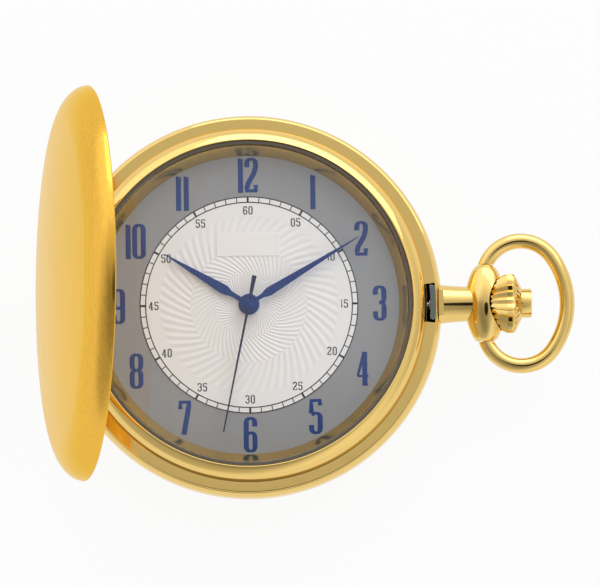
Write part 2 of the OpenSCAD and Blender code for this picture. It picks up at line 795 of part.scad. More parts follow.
function gear_line(n, m, at) =
    let (rp = n * m / 2, rb = rp * cos(pressure), root = rp - dedendum * m, tip = rp + addendum * m,
         low = max(root, rb),
         radii = concat(root < rb - 0.001 ? [root] : [], [for (i = [0:3]) low + (tip - low) * i / 3]))
    [for (k = [0:n - 1]) each concat(
        [for (r = radii) polar(r, at + 360 * k / n - half_tooth(n, m, r))],
        [for (r = reversed(radii)) polar(r, at + 360 * k / n + half_tooth(n, m, r))])];

// Toothed disc with one tooth's middle at the angle at
module gear(n, m, at, h) {
    linear_extrude(h) polygon(gear_line(n, m, at));
}

module main_plate() {
    stud_l = motion_gap - 0.1;
    color("silver") difference() {
        union() {
            translate([0, 0, plate_low]) cylinder(r = plate_r, h = plate_t);
            for (a = pillar_angles) translate(concat(bridge_p + polar(pillar_ring, a), bridge_top))
                cylinder(r = pillar_r, h = train_gap + eps);
            translate(concat(minute_p, plate_top - eps)) cylinder(r = stud_r, h = stud_l);
            for (p = [[stem_groove_x + pull_travel / 2, lever_arm],
                      [clutch_x + 0.55 + clutch_groove_w / 2, -yoke_arm]])
                translate(concat(p, plate_top - eps)) cylinder(r = 0.25, h = lever_t + 0.15);
        }
        for (a = pillar_angles) translate(concat(bridge_p + polar(pillar_ring, a), bridge_top - eps))
            cylinder(r = 0.25, h = train_gap + 0.5);
        translate([0, 0, plate_low - eps]) cylinder(r = pipe_out + run, h = plate_t + 2 * eps);
        for (p = [third_p, motor_p]) translate(concat(p, plate_low - eps))
            cylinder(r = arbor_r + pivot_run, h = 0.5);
        translate(concat(rotor_p, plate_low - eps)) cylinder(r = magnet_r + 0.15, h = 0.35);
        translate(concat(rotor_p, plate_low - eps)) cylinder(r = arbor_r + pivot_run, h = 0.65);
        translate([stem_end - 0.3, -stem_r - 0.15, plate_low - eps])
            cube([move_r, 2 * stem_r + 0.3, plate_t + 2 * eps]);
        translate([clutch_x - pull_travel / 2 - 0.2, -clutch_r - 0.15, plate_low - eps])
            cube([clutch_l + pull_travel + 0.6, 2 * clutch_r + 0.3, plate_t + 2 * eps]);
        translate(concat(battery_p, battery_z)) cylinder(r = battery_d / 2 + run, h = battery_h + run);
        for (a = [75, 235]) translate(concat(polar(foot_pin_at, a), plate_top - 0.5))
            cylinder(r = foot_pin_r + run, h = 1);
    }
}

module train_bridge() {
    color("gold") difference() {
        translate(concat(bridge_p, bridge_low)) cylinder(r = bridge_r, h = bridge_t);
        translate(concat(battery_p, bridge_low - 1)) cylinder(r = battery_d / 2 + 0.2, h = 3);
        for (a = pillar_angles) translate(concat(bridge_p + polar(pillar_ring, a), bridge_low - 1))
            cylinder(r = 0.27, h = 3);
        for (p = [[0, 0], third_p, motor_p, rotor_p]) translate(concat(p, bridge_low - 1))
            cylinder(r = arbor_r + pivot_run, h = 3);
    }
}

module bridge_screws() {
    color("silver") for (a = pillar_angles)
        translate(concat(bridge_p + polar(pillar_ring, a), bridge_low - 0.2)) difference() {
            union() {
                cylinder(r = 0.55, h = 0.2);
                cylinder(r = 0.25 - slip / 2, h = 0.2 + bridge_t + train_gap);
            }
            translate([-1, -0.06, -eps]) cube([2, 0.12, 0.08]);
        }
}

module battery() {
    color("silver") translate(concat(battery_p, battery_z)) {
        translate([0, 0, 0.3]) cylinder(r = battery_d / 2, h = battery_h - 0.3);
        cylinder(r = battery_d / 2 - 0.35, h = 0.3 + eps);
    }
}

// Sprung strap under the battery, screwed to the plate's edge on both sides
module battery_clamp() {
    l = battery_d / 2 + 0.9;
    color("gold") translate(concat(battery_p, 0)) rotate([0, 0, battery_a + 90]) difference() {
        union() {
            translate([-l, -0.8, battery_z - 0.2]) cube([2 * l, 1.6, 0.2]);
            for (s = [-1, 1]) translate([s * l, 0, battery_z - 0.2])
                cylinder(r = 0.8, h = plate_low - battery_z + 0.2);
        }
        translate([0, 0, battery_z + eps]) cylinder(r = battery_d / 2 + run, h = battery_h);
    }
}

module circuit_board() {
    color("seagreen") ring_arc(6.3, move_r - 0.3, plate_low - 0.2, 0.2, 100, 200);
}

module circuit_chip() {
    color("black") rotate([0, 0, 175]) translate([7.5, -1.1, plate_low - 0.8]) cube([2.2, 2.2, 0.6]);
}

module quartz_can() {
    r = 0.75;
    color("silver") rotate([0, 0, 135]) translate([8.6, -2.5, plate_low - 0.2 - r])
        rotate([-90, 0, 0]) cylinder(r = r, h = 5);
}

module motor_coil() {
    color("peru") translate([coil_x - coil_l / 2, coil_y, coil_z]) rotate([0, 90, 0])
        cylinder(r = coil_r, h = coil_l);
    color("peru") for (s = [-1, 1]) translate([coil_x + s * coil_l / 2 - 0.3, coil_y - 0.85, coil_z - 0.85])
        cube([0.6, 1.7, plate_low - stator_t - coil_z + 0.85]);
}

module bar(p, q, w) {
    d = q - p;
    translate(p) rotate(atan2(d[1], d[0])) translate([0, -w / 2]) square([norm(d), w]);
    for (c = [p, q]) translate(c) circle(d = w);
}

// Flat pole plate: a ring round the rotor and one leg to each end of the coil
module stator() {
    color("gray") translate([0, 0, plate_low - stator_t]) linear_extrude(stator_t) difference() {
        union() {
            translate(rotor_p) circle(r = 1.4);
            bar(rotor_p + [-0.8, -0.6], [coil_x - coil_l / 2, coil_y], 1.1);
            bar(rotor_p + [0.4, -0.8], [coil_x + coil_l / 2, coil_y], 1.1);
        }
        translate(rotor_p) circle(r = magnet_r + 0.2);
    }
}

module rotor() {
    color("dimgray") translate(concat(rotor_p, 0)) {
        translate([0, 0, bridge_low + 0.1]) cylinder(r = arbor_r, h = plate_low + 0.55 - bridge_low - 0.1);
        translate([0, 0, third_z - 0.05]) gear(rotor_teeth, rotor_m, motor_a, wheel_t + 0.1);
        translate([0, 0, plate_low - 0.33]) cylinder(r = magnet_r, h = 0.55);
    }
}

module motor_wheel() {
    color("whitesmoke") translate(concat(motor_p, 0)) {
        translate([0, 0, bridge_low + 0.1]) cylinder(r = arbor_r, h = plate_low + 0.4 - bridge_low - 0.1);
        translate([0, 0, third_z]) gear(motor_teeth, rotor_m, motor_a + 180 / motor_teeth, wheel_t);
        translate([0, 0, seconds_z - 0.05]) gear(motor_leaves, seconds_m, motor_a + 180, wheel_t + 0.1);
    }
}

module seconds_wheel() {
    color("whitesmoke") {
        translate([0, 0, bridge_low + 0.1]) cylinder(r = arbor_r, h = second_hand_z + second_t - bridge_low);
        translate([0, 0, seconds_z]) gear(seconds_teeth, seconds_m, motor_a + 180 / seconds_teeth, wheel_t);
        translate([0, 0, seconds_z + wheel_t]) cylinder(r = 0.22, h = third_z - seconds_z - wheel_t);
        translate([0, 0, third_z - 0.05]) gear(seconds_leaves, third_m, third_a, wheel_t + 0.1);
    }
}

module third_wheel() {
    color("whitesmoke") translate(concat(third_p, 0)) {
        translate([0, 0, bridge_low + 0.1]) cylinder(r = arbor_r, h = plate_low + 0.4 - bridge_low - 0.1);
        translate([0, 0, third_z])
            gear(third_teeth, third_m, third_a + 180 + 180 / third_teeth, wheel_t);
        translate([0, 0, third_z + wheel_t - eps])
            gear(third_leaves, center_m, third_a + 180, center_z - third_z + 0.05);
    }
}

// Centre wheel with its long pipe, and the cannon pinion over the plate
module center_wheel() {
    color("gold") difference() {
        union() {
            translate([0, 0, center_z])
                gear(center_teeth, center_m, third_a + 180 / center_teeth, wheel_t);
            translate([0, 0, center_z]) cylinder(r = pipe_out, h = minute_hand_z + hand_t - center_z + 0.04);
            translate([0, 0, minute_z - 0.03]) gear(cannon_teeth, motion_m, 0, wheel_t + 0.06);
        }
        translate([0, 0, center_z - 1]) cylinder(r = pipe_in, h = minute_hand_z - center_z + 3);
    }
}

module minute_wheel() {
    color("gold") translate(concat(minute_p, 0)) difference() {
        union() {
            translate([0, 0, minute_z]) gear(minute_teeth, motion_m, 180 + 180 / minute_teeth, wheel_t);
            translate([0, 0, minute_z + wheel_t - eps])
                gear(minute_leaves, motion_m, 180, hour_z - minute_z + 0.03);
        }
        translate([0, 0, plate_top]) cylinder(r = stud_r + pivot_run, h = 2);
    }
}

module hour_wheel() {
    color("gold") difference() {
        union() {
            translate([0, 0, hour_z]) gear(hour_teeth, motion_m, 180 / hour_teeth, wheel_t);
            translate([0, 0, hour_z]) cylinder(r = hour_pipe_out, h = hour_hand_z + hand_t - hour_z + 0.04);
        }
        translate([0, 0, hour_z - 1]) cylinder(r = hour_pipe_in, h = hour_hand_z - hour_z + 3);
    }
}

// Hand on its level: hub, narrow neck, shoulder and a long taper to the tip
module hand(at, z, t, l, neck_to, wide_at, half_w, hub, bore) {
    neck = 0.24;
    translate([0, 0, z]) rotate([0, 0, 90 - at]) linear_extrude(t) difference() {
        union() {
            circle(r = hub);
            polygon([[0, -neck], [neck_to, -neck], [wide_at, -half_w], [l, -0.04],
                     [l, 0.04], [wide_at, half_w], [neck_to, neck], [0, neck]]);
        }
        circle(r = bore);
    }
}

module hour_hand() {
    color("navy") hand(hour_at, hour_hand_z, hand_t, hour_len, 0.21 * hour_len, 0.33 * hour_len, 0.58, hub_r + 0.1,
        hour_pipe_out + slip / 2);
}

module minute_hand() {
    color("navy") hand(minute_at, minute_hand_z, hand_t, minute_len, 0.15 * minute_len, 0.21 * minute_len, 0.52, hub_r,
        pipe_out + slip / 2);
}

module second_hand() {
    color("navy") translate([0, 0, second_hand_z]) rotate([0, 0, 90 - second_at])
        linear_extrude(second_t) difference() {
            union() {
                circle(r = collet_r);
                polygon([[-tail_len, -0.29], [-collet_r, -0.165], [0, -0.13], [second_len, -0.07],
                         [second_len, 0.07], [0, 0.13], [-collet_r, 0.165], [-tail_len, 0.29]]);
            }
            circle(r = arbor_r + slip / 2);
        }
}

case_middle();
back_cover();
back_gasket();
bezel();
flange_ring();
crystal();
crystal_gasket();
dial();
movement_ring();
front_cover();
hinge_pin();
lock_spring();
fly_spring();
spring_screws();
pendant();
bow();
stem();
stem_gasket();
crown();
clutch_wheel();
pusher();
pusher_pin();
release_washer();
pusher_spring();
setting_lever();
yoke();
main_plate();
train_bridge();
bridge_screws();
battery();
battery_clamp();
circuit_board();
circuit_chip();
quartz_can();
motor_coil();
stator();
rotor();
motor_wheel();
seconds_wheel();
third_wheel();
center_wheel();
minute_wheel();
hour_wheel();
hour_hand();
minute_hand();
second_hand();
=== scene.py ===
"""Full hunter pocket watch, lying on its back with the front cover open, in gold plate.

Metres. +Z is the dial's normal, +X points to the pendant at 3 o'clock, +Y to 12 o'clock.
"""
import math

import bpy
from bpy.props import FloatProperty, FloatVectorProperty, IntProperty, PointerProperty
from mathutils import Matrix, Vector


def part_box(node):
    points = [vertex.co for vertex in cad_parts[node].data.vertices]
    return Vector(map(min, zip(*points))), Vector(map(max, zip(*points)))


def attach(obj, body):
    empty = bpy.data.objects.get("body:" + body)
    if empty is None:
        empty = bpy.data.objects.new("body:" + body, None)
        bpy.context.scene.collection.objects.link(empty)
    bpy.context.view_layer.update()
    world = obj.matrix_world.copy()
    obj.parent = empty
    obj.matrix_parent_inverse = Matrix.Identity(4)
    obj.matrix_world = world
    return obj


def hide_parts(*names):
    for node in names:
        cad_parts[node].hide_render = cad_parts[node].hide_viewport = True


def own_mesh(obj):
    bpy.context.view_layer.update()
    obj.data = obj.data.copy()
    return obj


bl_info = {
    "name": "Full hunter pocket watch",
    "version": (1, 0, 0),
    "blender": (4, 5, 0),
    "location": "View3D > Sidebar > Pocket watch",
    "description": "Builds a gold-plated full hunter pocket watch round its packed solids",
    "category": "Object",
}

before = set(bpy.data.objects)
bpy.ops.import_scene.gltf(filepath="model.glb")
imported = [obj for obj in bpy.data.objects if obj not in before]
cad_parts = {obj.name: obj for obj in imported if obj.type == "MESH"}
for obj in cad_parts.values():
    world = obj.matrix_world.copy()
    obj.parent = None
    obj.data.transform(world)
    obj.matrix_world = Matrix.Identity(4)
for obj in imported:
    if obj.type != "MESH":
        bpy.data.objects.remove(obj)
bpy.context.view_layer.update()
MM = 0.001
# Steps of a full turn on the lathe
ROUND = 256
# Room round a piece that is pushed home
FIT = 0.02 * MM
# Distance within which two points are the same
DOUBLE = 0.0005 * MM
# Where nearly all of a noise's values lie
NOISE_SPAN = (0.3, 0.7)


def srgb(code):
    """Linear colour of an sRGB hex value"""
    parts = [int(code[i:i + 2], 16) / 255 for i in (0, 2, 4)]
    return tuple(p / 12.92 if p <= 0.04045 else ((p + 0.055) / 1.055) ** 2.4 for p in parts)


def outer(node):
    """Greatest radius of a turned node about the dial's axis"""
    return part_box(node)[1].y


def low(node):
    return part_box(node)[0].z


def high(node):
    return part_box(node)[1].z


# Levels and radii that the solids already hold
FLANGE_TALL = 1.7 * MM
SPIGOT_TALL = 0.8 * MM
LEDGE_Z = high("flange_ring") - FLANGE_TALL
SEAM_Z = high("back_cover") - SPIGOT_TALL
GIRTH_R = outer("case_middle")
BEZEL_R = outer("bezel")
FLANGE_R = outer("flange_ring")
CRYSTAL_R = outer("crystal")
DIAL_R = outer("dial")
DIAL_Z = LEDGE_Z
STEM_Z = (low("bow") + high("bow")) / 2
CROWN_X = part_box("crown")[0].x
CROWN_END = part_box("crown")[1].x
CROWN_R = (high("crown") - low("crown")) / 2
CROWN_FOOT = 0.5
BUTTON_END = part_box("pusher")[1].x
HEAD_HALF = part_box("pendant")[1].y


def length(name, about, default):
    return FloatProperty(name=name, description=about, default=default, unit="LENGTH", precision=5)


def angle(name, about, default):
    return FloatProperty(name=name, description=about, default=math.radians(default), subtype="ANGLE")


def colour(name, about, code):
    return FloatVectorProperty(name=name, description=about, default=srgb(code), size=3,
                               subtype="COLOR", min=0.0, max=1.0)


def number(name, about, default):
    return FloatProperty(name=name, description=about, default=default)


class WatchCase(bpy.types.PropertyGroup):
    """Sizes of the case middle, the back, the bezel and the catch"""
    edge_draw: length("Edge draw", "How far the band draws in at its top edge", 0.6 * MM)
    foot_draw: length("Foot draw", "How far the band draws in at the back seam", 0.15 * MM)
    girth_drop: length("Girth drop", "Height of the band's widest line below the ledge", 2.26 * MM)
    band_wall: length("Band wall", "Outer wall of the band beside the spring channel", 0.72 * MM)
    channel: length("Channel", "Width of the spring channel", 1.33 * MM)
    inner_wall: length("Inner wall", "Inner wall of the case middle", 1.15 * MM)
    deck: length("Deck", "Thickness of the ledge over the channel", 0.8 * MM)
    land: length("Back land", "Radius of the flat land of the back", 13.0 * MM)
    back_wall: length("Back wall", "Wall of the back cover", 0.6 * MM)
    bezel_rise: length("Bezel rise", "Height of the bezel over the ledge", 2.45 * MM)
    bezel_spigot: length("Bezel spigot", "Depth of the bezel's spigot in the case", 0.35 * MM)
    slot_half: length("Catch slot", "Half length of the slot that the catch stands in", 2.45 * MM)
    catch_half: length("Catch", "Half length of the catch", 2.1 * MM)
    catch_rise: length("Catch rise", "Height of the catch over the ledge", 0.45 * MM)


class WatchCover(bpy.types.PropertyGroup):
    """Sizes of the front cover and the hinge"""
    over: length("Overhang", "How far the cover stands out past the band", 0.1 * MM)
    rise: length("Shoulder height", "Height of the cover's shoulder", 3.33 * MM)
    crown: length("Crown", "Rise of the cover's crown above the shoulder", 0.92 * MM)
    shoulder: length("Shoulder", "Breadth of the rounded shoulder", 5.0 * MM)
    wall: length("Wall", "Wall of the cover", 0.55 * MM)
    lip: length("Lip", "Breadth of the rim that closes on the ledge", 0.75 * MM)
    gap: length("Seam", "Gap between the shut rim and the ledge", 0.05 * MM)
    opened: angle("Opened", "Angle at which the cover stands open", 80)
    knuckle: length("Knuckle", "Radius of the hinge's knuckles", 0.8 * MM)
    knuckle_w: length("Knuckle width", "Length of one knuckle", 1.6 * MM)


class WatchDial(bpy.types.PropertyGroup):
    """Sizes of the dial's print and its pressed ribs"""
    track_out: length("Minute track", "Outer radius of the minute track", 13.27 * MM)
    track_in: length("Track inside", "Inner radius of the minute track", 12.6 * MM)
    line: length("Track line", "Breadth of the track's printed lines", 0.13 * MM)
    ink: length("Ink", "Height of the printed ink", 0.015 * MM)
    label_r: length("Label ring", "Radius of the minute labels", 11.55 * MM)
    label_h: length("Label height", "Height of the minute labels", 1.08 * MM)
    numeral_r: length("Numeral ring", "Radius of the hour numerals' middles", 15.85 * MM)
    numeral_h: length("Numeral height", "Height of the hour numerals", 4.45 * MM)
    stroke: length("Stroke", "Half breadth of a numeral's heavy stroke", 0.31 * MM)
    hairline: length("Hairline", "Half breadth of a numeral's fine stroke", 0.14 * MM)
    relief: length("Relief", "Depth of the pressed ribs", 0.045 * MM)
    ribs: IntProperty(name="Ribs", description="Number of pressed ribs round the dial", default=60)
    ribs_mid: length("Middle ribs", "Radius where the middle ring of ribs starts", 4.0 * MM)
    ribs_out: length("Outer ribs", "Radius where the outer ring of ribs starts", 7.05 * MM)
    lean_in: angle("Inner lean", "Lean of the inner ribs from the radius", -22)
    lean_mid: angle("Middle lean", "Lean of the middle ribs from the radius", 34)
    lean_out: angle("Outer lean", "Lean of the outer ribs from the radius", -28)
    plain_in: length("Plain middle", "Radius of the plain middle inside the ribs", 1.9 * MM)
    plain_out: length("Plain ring", "Radius where the ribs end", 10.8 * MM)


class WatchHands(bpy.types.PropertyGroup):
    """Places and lengths of the hands"""
    hour_at: angle("Hour hand", "Angle of the hour hand, clockwise from 12", 301.5)
    minute_at: angle("Minute hand", "Angle of the minute hand, clockwise from 12", 59)
    second_at: angle("Second hand", "Angle of the second hand, clockwise from 12", 191.8)
    hour_len: length("Hour length", "Length of the hour hand", 11.95 * MM)
    minute_len: length("Minute length", "Length of the minute hand", 15.7 * MM)
    second_len: length("Second length", "Length of the second hand", 16.0 * MM)
    tail: length("Tail", "Length of the second hand's tail", 3.5 * MM)
    hub: length("Hub", "Radius of the minute hand's hub", 1.17 * MM)
    edge: length("Edge", "Rounding of the hands' edges", 0.04 * MM)


class WatchPendant(bpy.types.PropertyGroup):
    """Sizes of the pendant, the crown, the button and the bow"""
    head_x: length("Head", "Distance of the head's axis from the centre", 28.9 * MM)
    head_r: length("Head radius", "Radius of the head at its middle", 2.6 * MM)
    head_back: length("Head set back", "How far the head's middle lies behind the bow's axis", 0.12 * MM)
    head_end: length("Head end", "Radius of the head at its ends", 1.28 * MM)
    neck_r: length("Neck", "Radius of the neck at the band", 2.4 * MM)
    neck_top: length("Neck top", "Radius of the neck at the head", 2.08 * MM)
    button_r: length("Button", "Radius of the release button", 1.78 * MM)
    button_in: length("Button stroke", "How far the button goes in", 0.45 * MM)
    flutes: IntProperty(name="Flutes", description="Number of flutes round the crown", default=24)
    flute: length("Flute depth", "Depth of a flute", 0.3 * MM)
    gap: length("Crown gap", "Gap between the crown and the head", 0.06 * MM)
    bow_r: length("Bow wire", "Radius of the bow's wire", 0.93 * MM)
    bow_arc: length("Bow arc", "Radius of the bow's flatter outer arc", 9.75 * MM)
    bow_side: length("Bow side", "Radius of the bow's two side arcs", 4.6 * MM)
    bow_side_y: length("Bow side place", "Distance of a side arc's centre from the middle", 3.05 * MM)
    bow_end: length("Bow end", "Distance of the bow's ends from the middle", 4.78 * MM)
    bow_pin: length("Bow pivot", "Radius of the bow's pivots", 0.45 * MM)


class WatchColours(bpy.types.PropertyGroup):
    """Colours of the finishes"""
    gold: colour("Gold", "Gold plate", "ECCA7A")
    # The flange is plated like the bezel: its darker, more saturated gold is painted shade and a painted
    # reflection of the gold round it in the recess under the crystal.
    flange: colour("Flange gold", "Gold plate of the flange ring", "DDB55C")
    satin: colour("Satin gold", "Brushed gold plate of the cover", "EEB94C")
    silver: colour("Silvered", "Pressed centre of the dial", "F9FAFD")
    grey: colour("Grey", "Outer ring of the dial", "9A9DA2")
    blue: colour("Blue", "Lacquer of the hands", "08337C")
    dark_blue: colour("Dark blue", "Lacquer of the second hand", "18214A")
    numeral: colour("Numeral blue", "Ink of the hour numerals", "0D3A80")
    ink: colour("Black ink", "Ink of the minute track", "26282B")
    steel: colour("Steel", "Hardened steel", "B9BCC0")
    brass: colour("Brass", "Brass of the movement", "D8B56A")


class WatchStudio(bpy.types.PropertyGroup):
    """Place of the camera, and the ground"""
    tilt: angle("Tilt", "Camera's lean from the dial's normal towards 6 o'clock", 7.25)
    roll: angle("Roll", "Turn of the picture", 0.75)
    reach: length("Reach", "Distance of the camera", 1083 * MM)
    aim_x: length("Aim across", "Place of the picture's middle, right of the dial's centre", 6.226 * MM)
    aim_y: length("Aim up", "Place of the picture's middle, above the dial's centre", 1.445 * MM)
    lens: number("Lens", "Focal length in millimetres for a 36 mm sensor", 534.0)
    paper: colour("Paper", "Pale ground under the watch", "F2F2F2")


GROUPS = {"watch_case": WatchCase, "watch_cover": WatchCover, "watch_dial": WatchDial,
          "watch_hands": WatchHands, "watch_pendant": WatchPendant,
          "watch_colours": WatchColours, "watch_studio": WatchStudio}


# Shaping

def evenly(start, end, count):
    """Values from start to end in even steps"""
    return [start + (end - start) * i / count for i in range(count + 1)]


def arc(centre, radius, start, end, count):
    """Points of an arc between two angles in degrees"""
    angles = [math.radians(angle) for angle in evenly(start, end, count)]
    return [(centre[0] + radius * math.cos(a), centre[1] + radius * math.sin(a)) for a in angles]


def eased(corners, count=5):
    """Closed outline from corners of x, y and radius, each rounded by a quadratic curve"""
    line = []
    for i, (x, y, r) in enumerate(corners):
        here = Vector((x, y))
        if not r:
            line.append((x, y))
            continue
        sides = [Vector(corners[(i + k) % len(corners)][:2]) - here for k in (-1, 1)]
        start, end = [here + side.normalized() * min(r, side.length / 2) for side in sides]
        for t in evenly(0, 1, count):
            line.append(tuple(start * (1 - t) ** 2 + here * 2 * t * (1 - t) + end * t ** 2))
    return line + line[:1]


def rod(radius, start, end):
    """Outline of a plain round rod, from the axis back to the axis"""
    return [(0, start), (radius, start), (radius, end), (0, end)]


def hoop(inside, outside, start, end):
    """Closed outline of a ring of plain rectangular section"""
    return [(inside, start), (outside, start), (outside, end), (inside, end), (inside, start)]


def alone(piece):
    """Leaves one piece selected and active, so that an operator acts on it alone"""
    bpy.ops.object.select_all(action="DESELECT")
    piece.select_set(True)
    bpy.context.view_layer.objects.active = piece


def settle(piece):
    """Puts the piece's place and turn into its mesh"""
    alone(piece)
    bpy.ops.object.transform_apply(location=True, rotation=True, scale=True)


def lay(piece, place, turn, axis):
    """Turns a piece about an axis through the origin, then moves it to its place"""
    piece.matrix_world = Matrix.Translation(place) @ Matrix.Rotation(turn, 4, axis)
    settle(piece)
    return piece


def along_stem(piece):
    """Turns a piece made along Z so that it lies along the stem"""
    return lay(piece, (0, 0, STEM_Z), math.pi / 2, "Y")


def across_stem(piece, x):
    """Turns a piece made along Z so that it lies along Y, across the stem"""
    return lay(piece, (x, 0, STEM_Z), -math.pi / 2, "X")


def smooth(piece, degrees=32):
    alone(piece)
    bpy.ops.object.shade_smooth_by_angle(angle=math.radians(degrees))


def drawn(points):
    """Line in edit mode: a plane is merged to one vertex, which is extruded from point to point"""
    bpy.ops.object.select_all(action="DESELECT")
    bpy.ops.mesh.primitive_plane_add(size=MM)
    piece = bpy.context.object
    bpy.ops.object.mode_set(mode="EDIT")
    bpy.ops.mesh.merge(type="CENTER")
    bpy.ops.transform.translate(value=points[0])
    for here, there in zip(points, points[1:]):
        step = Vector(there) - Vector(here)
        bpy.ops.mesh.extrude_region_move(TRANSFORM_OT_translate={"value": step})
    bpy.ops.mesh.select_all(action="SELECT")
    return piece


def close_up(piece, name):
    """Merges doubles, points all faces outwards, leaves edit mode and names the piece"""
    bpy.ops.mesh.select_all(action="SELECT")
    bpy.ops.mesh.remove_doubles(threshold=DOUBLE)
    bpy.ops.mesh.normals_make_consistent(inside=False)
    bpy.ops.object.mode_set(mode="OBJECT")
    piece.name = name


def turned(name, line, steps=ROUND, sweep=math.tau):
    """Piece turned on a lathe about Z: its outline of radius and height is drawn, then spun"""
    piece = drawn([(r, 0, z) for r, z in line])
    bpy.ops.mesh.spin(steps=steps, angle=sweep, center=(0, 0, 0), axis=(0, 0, 1))
    close_up(piece, name)
    smooth(piece)
    return piece


def cut_sheet(name, outline, z, thick, edge=0.0):
    """Flat piece cut to an outline of x and y, given its thickness and rounded edges"""
    piece = drawn([(x, y, z) for x, y in outline])
    bpy.ops.mesh.edge_face_add()
    bpy.ops.mesh.extrude_region_move(TRANSFORM_OT_translate={"value": (0, 0, thick)})
    close_up(piece, name)
    if edge:
        round_edges(piece, edge)
    smooth(piece)
    return piece


def cap_holes(piece):
    """Closes the open ends of a shape that was spun part of the way"""
    alone(piece)
    bpy.ops.object.mode_set(mode="EDIT")
    bpy.ops.mesh.select_all(action="DESELECT")
    bpy.ops.mesh.select_mode(type="EDGE")
    bpy.ops.mesh.select_non_manifold()
    bpy.ops.mesh.edge_face_add()
    bpy.ops.mesh.select_mode(type="VERT")
    close_up(piece, piece.name)


def modify(piece, kind, **settings):
    """Adds one modifier to the piece and applies it"""
    alone(piece)
    modifier = piece.modifiers.new(kind.title(), kind)
    for key, value in settings.items():
        setattr(modifier, key, value)
    bpy.ops.object.modifier_apply(modifier=modifier.name)


def round_edges(piece, width, segments=3, degrees=30):
    modify(piece, "BEVEL", width=width, segments=segments, limit_method="ANGLE",
           angle_limit=math.radians(degrees), use_clamp_overlap=True)


def carve(piece, tool):
    """Cuts the tool's shape out of the piece and throws the tool away"""
    modify(piece, "BOOLEAN", operation="DIFFERENCE", object=tool, solver="EXACT")
    bpy.data.objects.remove(tool)


def weld(name, piece, *others):
    """Joins pieces of one material into one"""
    alone(piece)
    for other in others:
        other.select_set(True)
    bpy.ops.object.join()
    piece.name = name
    return piece


# Materials

def feed(material, socket, value):
    """Gives an input a value, another node's output, or a node, which stands for its first output"""
    if isinstance(value, bpy.types.Node):
        value = next(output for output in value.outputs if output.enabled)
    if isinstance(value, bpy.types.NodeSocket):
        material.node_tree.links.new(value, socket)
    else:
        socket.default_value = value


def add_node(material, kind, inputs=(), **settings):
    """Adds one node with its settings; its inputs are listed in their order, or given by name"""
    node = material.node_tree.nodes.new("ShaderNode" + kind)
    for key, value in settings.items():
        setattr(node, key, value)
    if isinstance(inputs, dict):
        pairs = [(node.inputs[key], value) for key, value in inputs.items()]
    else:
        pairs = list(zip([socket for socket in node.inputs if socket.enabled], inputs))
    for socket, value in pairs:
        feed(material, socket, value)
    return node


def finish(name, base, metallic, roughness, **more):
    """New material with one principled shader"""
    material = bpy.data.materials.new(name)
    material.use_nodes = True
    inputs = shader_of(material).inputs
    inputs["Base Color"].default_value = (*base, 1)
    inputs["Metallic"].default_value = metallic
    inputs["Roughness"].default_value = roughness
    for key, value in more.items():
        inputs[key.replace("_", " ")].default_value = value
    return material


def shader_of(material):
    return material.node_tree.nodes["Principled BSDF"]


def grain(material, size, stretch=(1, 1, 1), detail=2.0):
    """Noise whose grain has a real size, stretched along an axis for a drawn or brushed surface"""
    place = add_node(material, "TexCoord").outputs["Object"]
    spread = add_node(material, "Mapping", {"Vector": place, "Scale": [1 / s for s in stretch]})
    return add_node(material, "TexNoise", {"Vector": spread, "Scale": 1 / size, "Detail": detail})


def vary(material, pattern, tones=None, roughness=None, relief=None):
    """Lets a pattern vary a finish: its tone between two shares of its colour, its roughness between two
    levels, and its relief by a real depth in metres and the share of it that is taken"""
    inputs = shader_of(material).inputs
    if tones:
        base = inputs["Base Color"].default_value[:3]
        shades = [(*[min(1.0, part * tone) for part in base], 1) for tone in tones]
        tone = add_node(material, "Mix", [pattern, *shades], data_type="RGBA")
        feed(material, inputs["Base Color"], tone)
    if roughness:
        level = add_node(material, "MapRange", [pattern, *NOISE_SPAN, *roughness])
        feed(material, inputs["Roughness"], level)
    if relief:
        depth, strength = relief
        bump = add_node(material, "Bump", {"Height": pattern, "Distance": depth, "Strength": strength})
        feed(material, inputs["Normal"], bump)
    return material


def show_mixed(material, share, first, second):
    """Shows two shaders mixed by a share"""
    both = add_node(material, "MixShader", [share, first, second])
    feed(material, material.node_tree.nodes["Material Output"].inputs["Surface"], both)


def polished_gold(base):
    """Gold plate over brass, buffed: mirror-like, with faint wiping marks and a slow tone change"""
    material = finish("polished_gold_plate", base, 1.0, 0.07)
    return vary(material, grain(material, 1.6 * MM, detail=3), tones=(0.97, 1.02), roughness=(0.05, 0.11))


def fine_turned_gold(base):
    """Gold plate over a fine-turned ring: rings left by the lathe soften what it mirrors"""
    material = finish("fine_turned_gold_plate", base, 1.0, 0.2)
    return vary(material, grain(material, 0.5 * MM, detail=3), roughness=(0.15, 0.22))


def satin_gold(base):
    """Gold plate over brushed brass: fine lines from 12 to 6 blur what it mirrors, and the tone drifts
    slowly; real brushing is finer than a pixel, so the lines are drawn as coarse as they need to show"""
    material = finish("satin_gold_plate", base, 1.0, 0.2, Specular_Tint=(1.0, 0.92, 0.55, 1.0))
    lines = grain(material, 0.24 * MM, stretch=(1, 90, 1), detail=4)
    vary(material, lines, roughness=(0.16, 0.27), relief=(0.005 * MM, 0.6))
    drift = grain(material, 11 * MM, stretch=(1, 1.6, 1), detail=1)
    brushed = add_node(material, "MapRange", [lines, *NOISE_SPAN, 0.0, 1.0])
    drift_share = 0.45
    mixed = add_node(material, "Mix", [drift_share, brushed, drift])
    return vary(material, mixed, tones=(0.84, 1.12))


def lacquer(name, base):
    """Lacquer on steel hands: smooth, with a soft shine"""
    material = finish(name, base, 0.0, 0.35, Specular_IOR_Level=0.06)
    return vary(material, grain(material, 0.5 * MM), tones=(0.85, 1.12))


def printed_ink(name, base):
    """Pad-printed enamel ink: even colour, slightly glossy, with a trace of paper-like grain"""
    material = finish(name, base, 0.0, 0.5, Specular_IOR_Level=0.05)
    return vary(material, grain(material, 0.08 * MM), tones=(0.9, 1.1), relief=(0.002 * MM, 0.4))


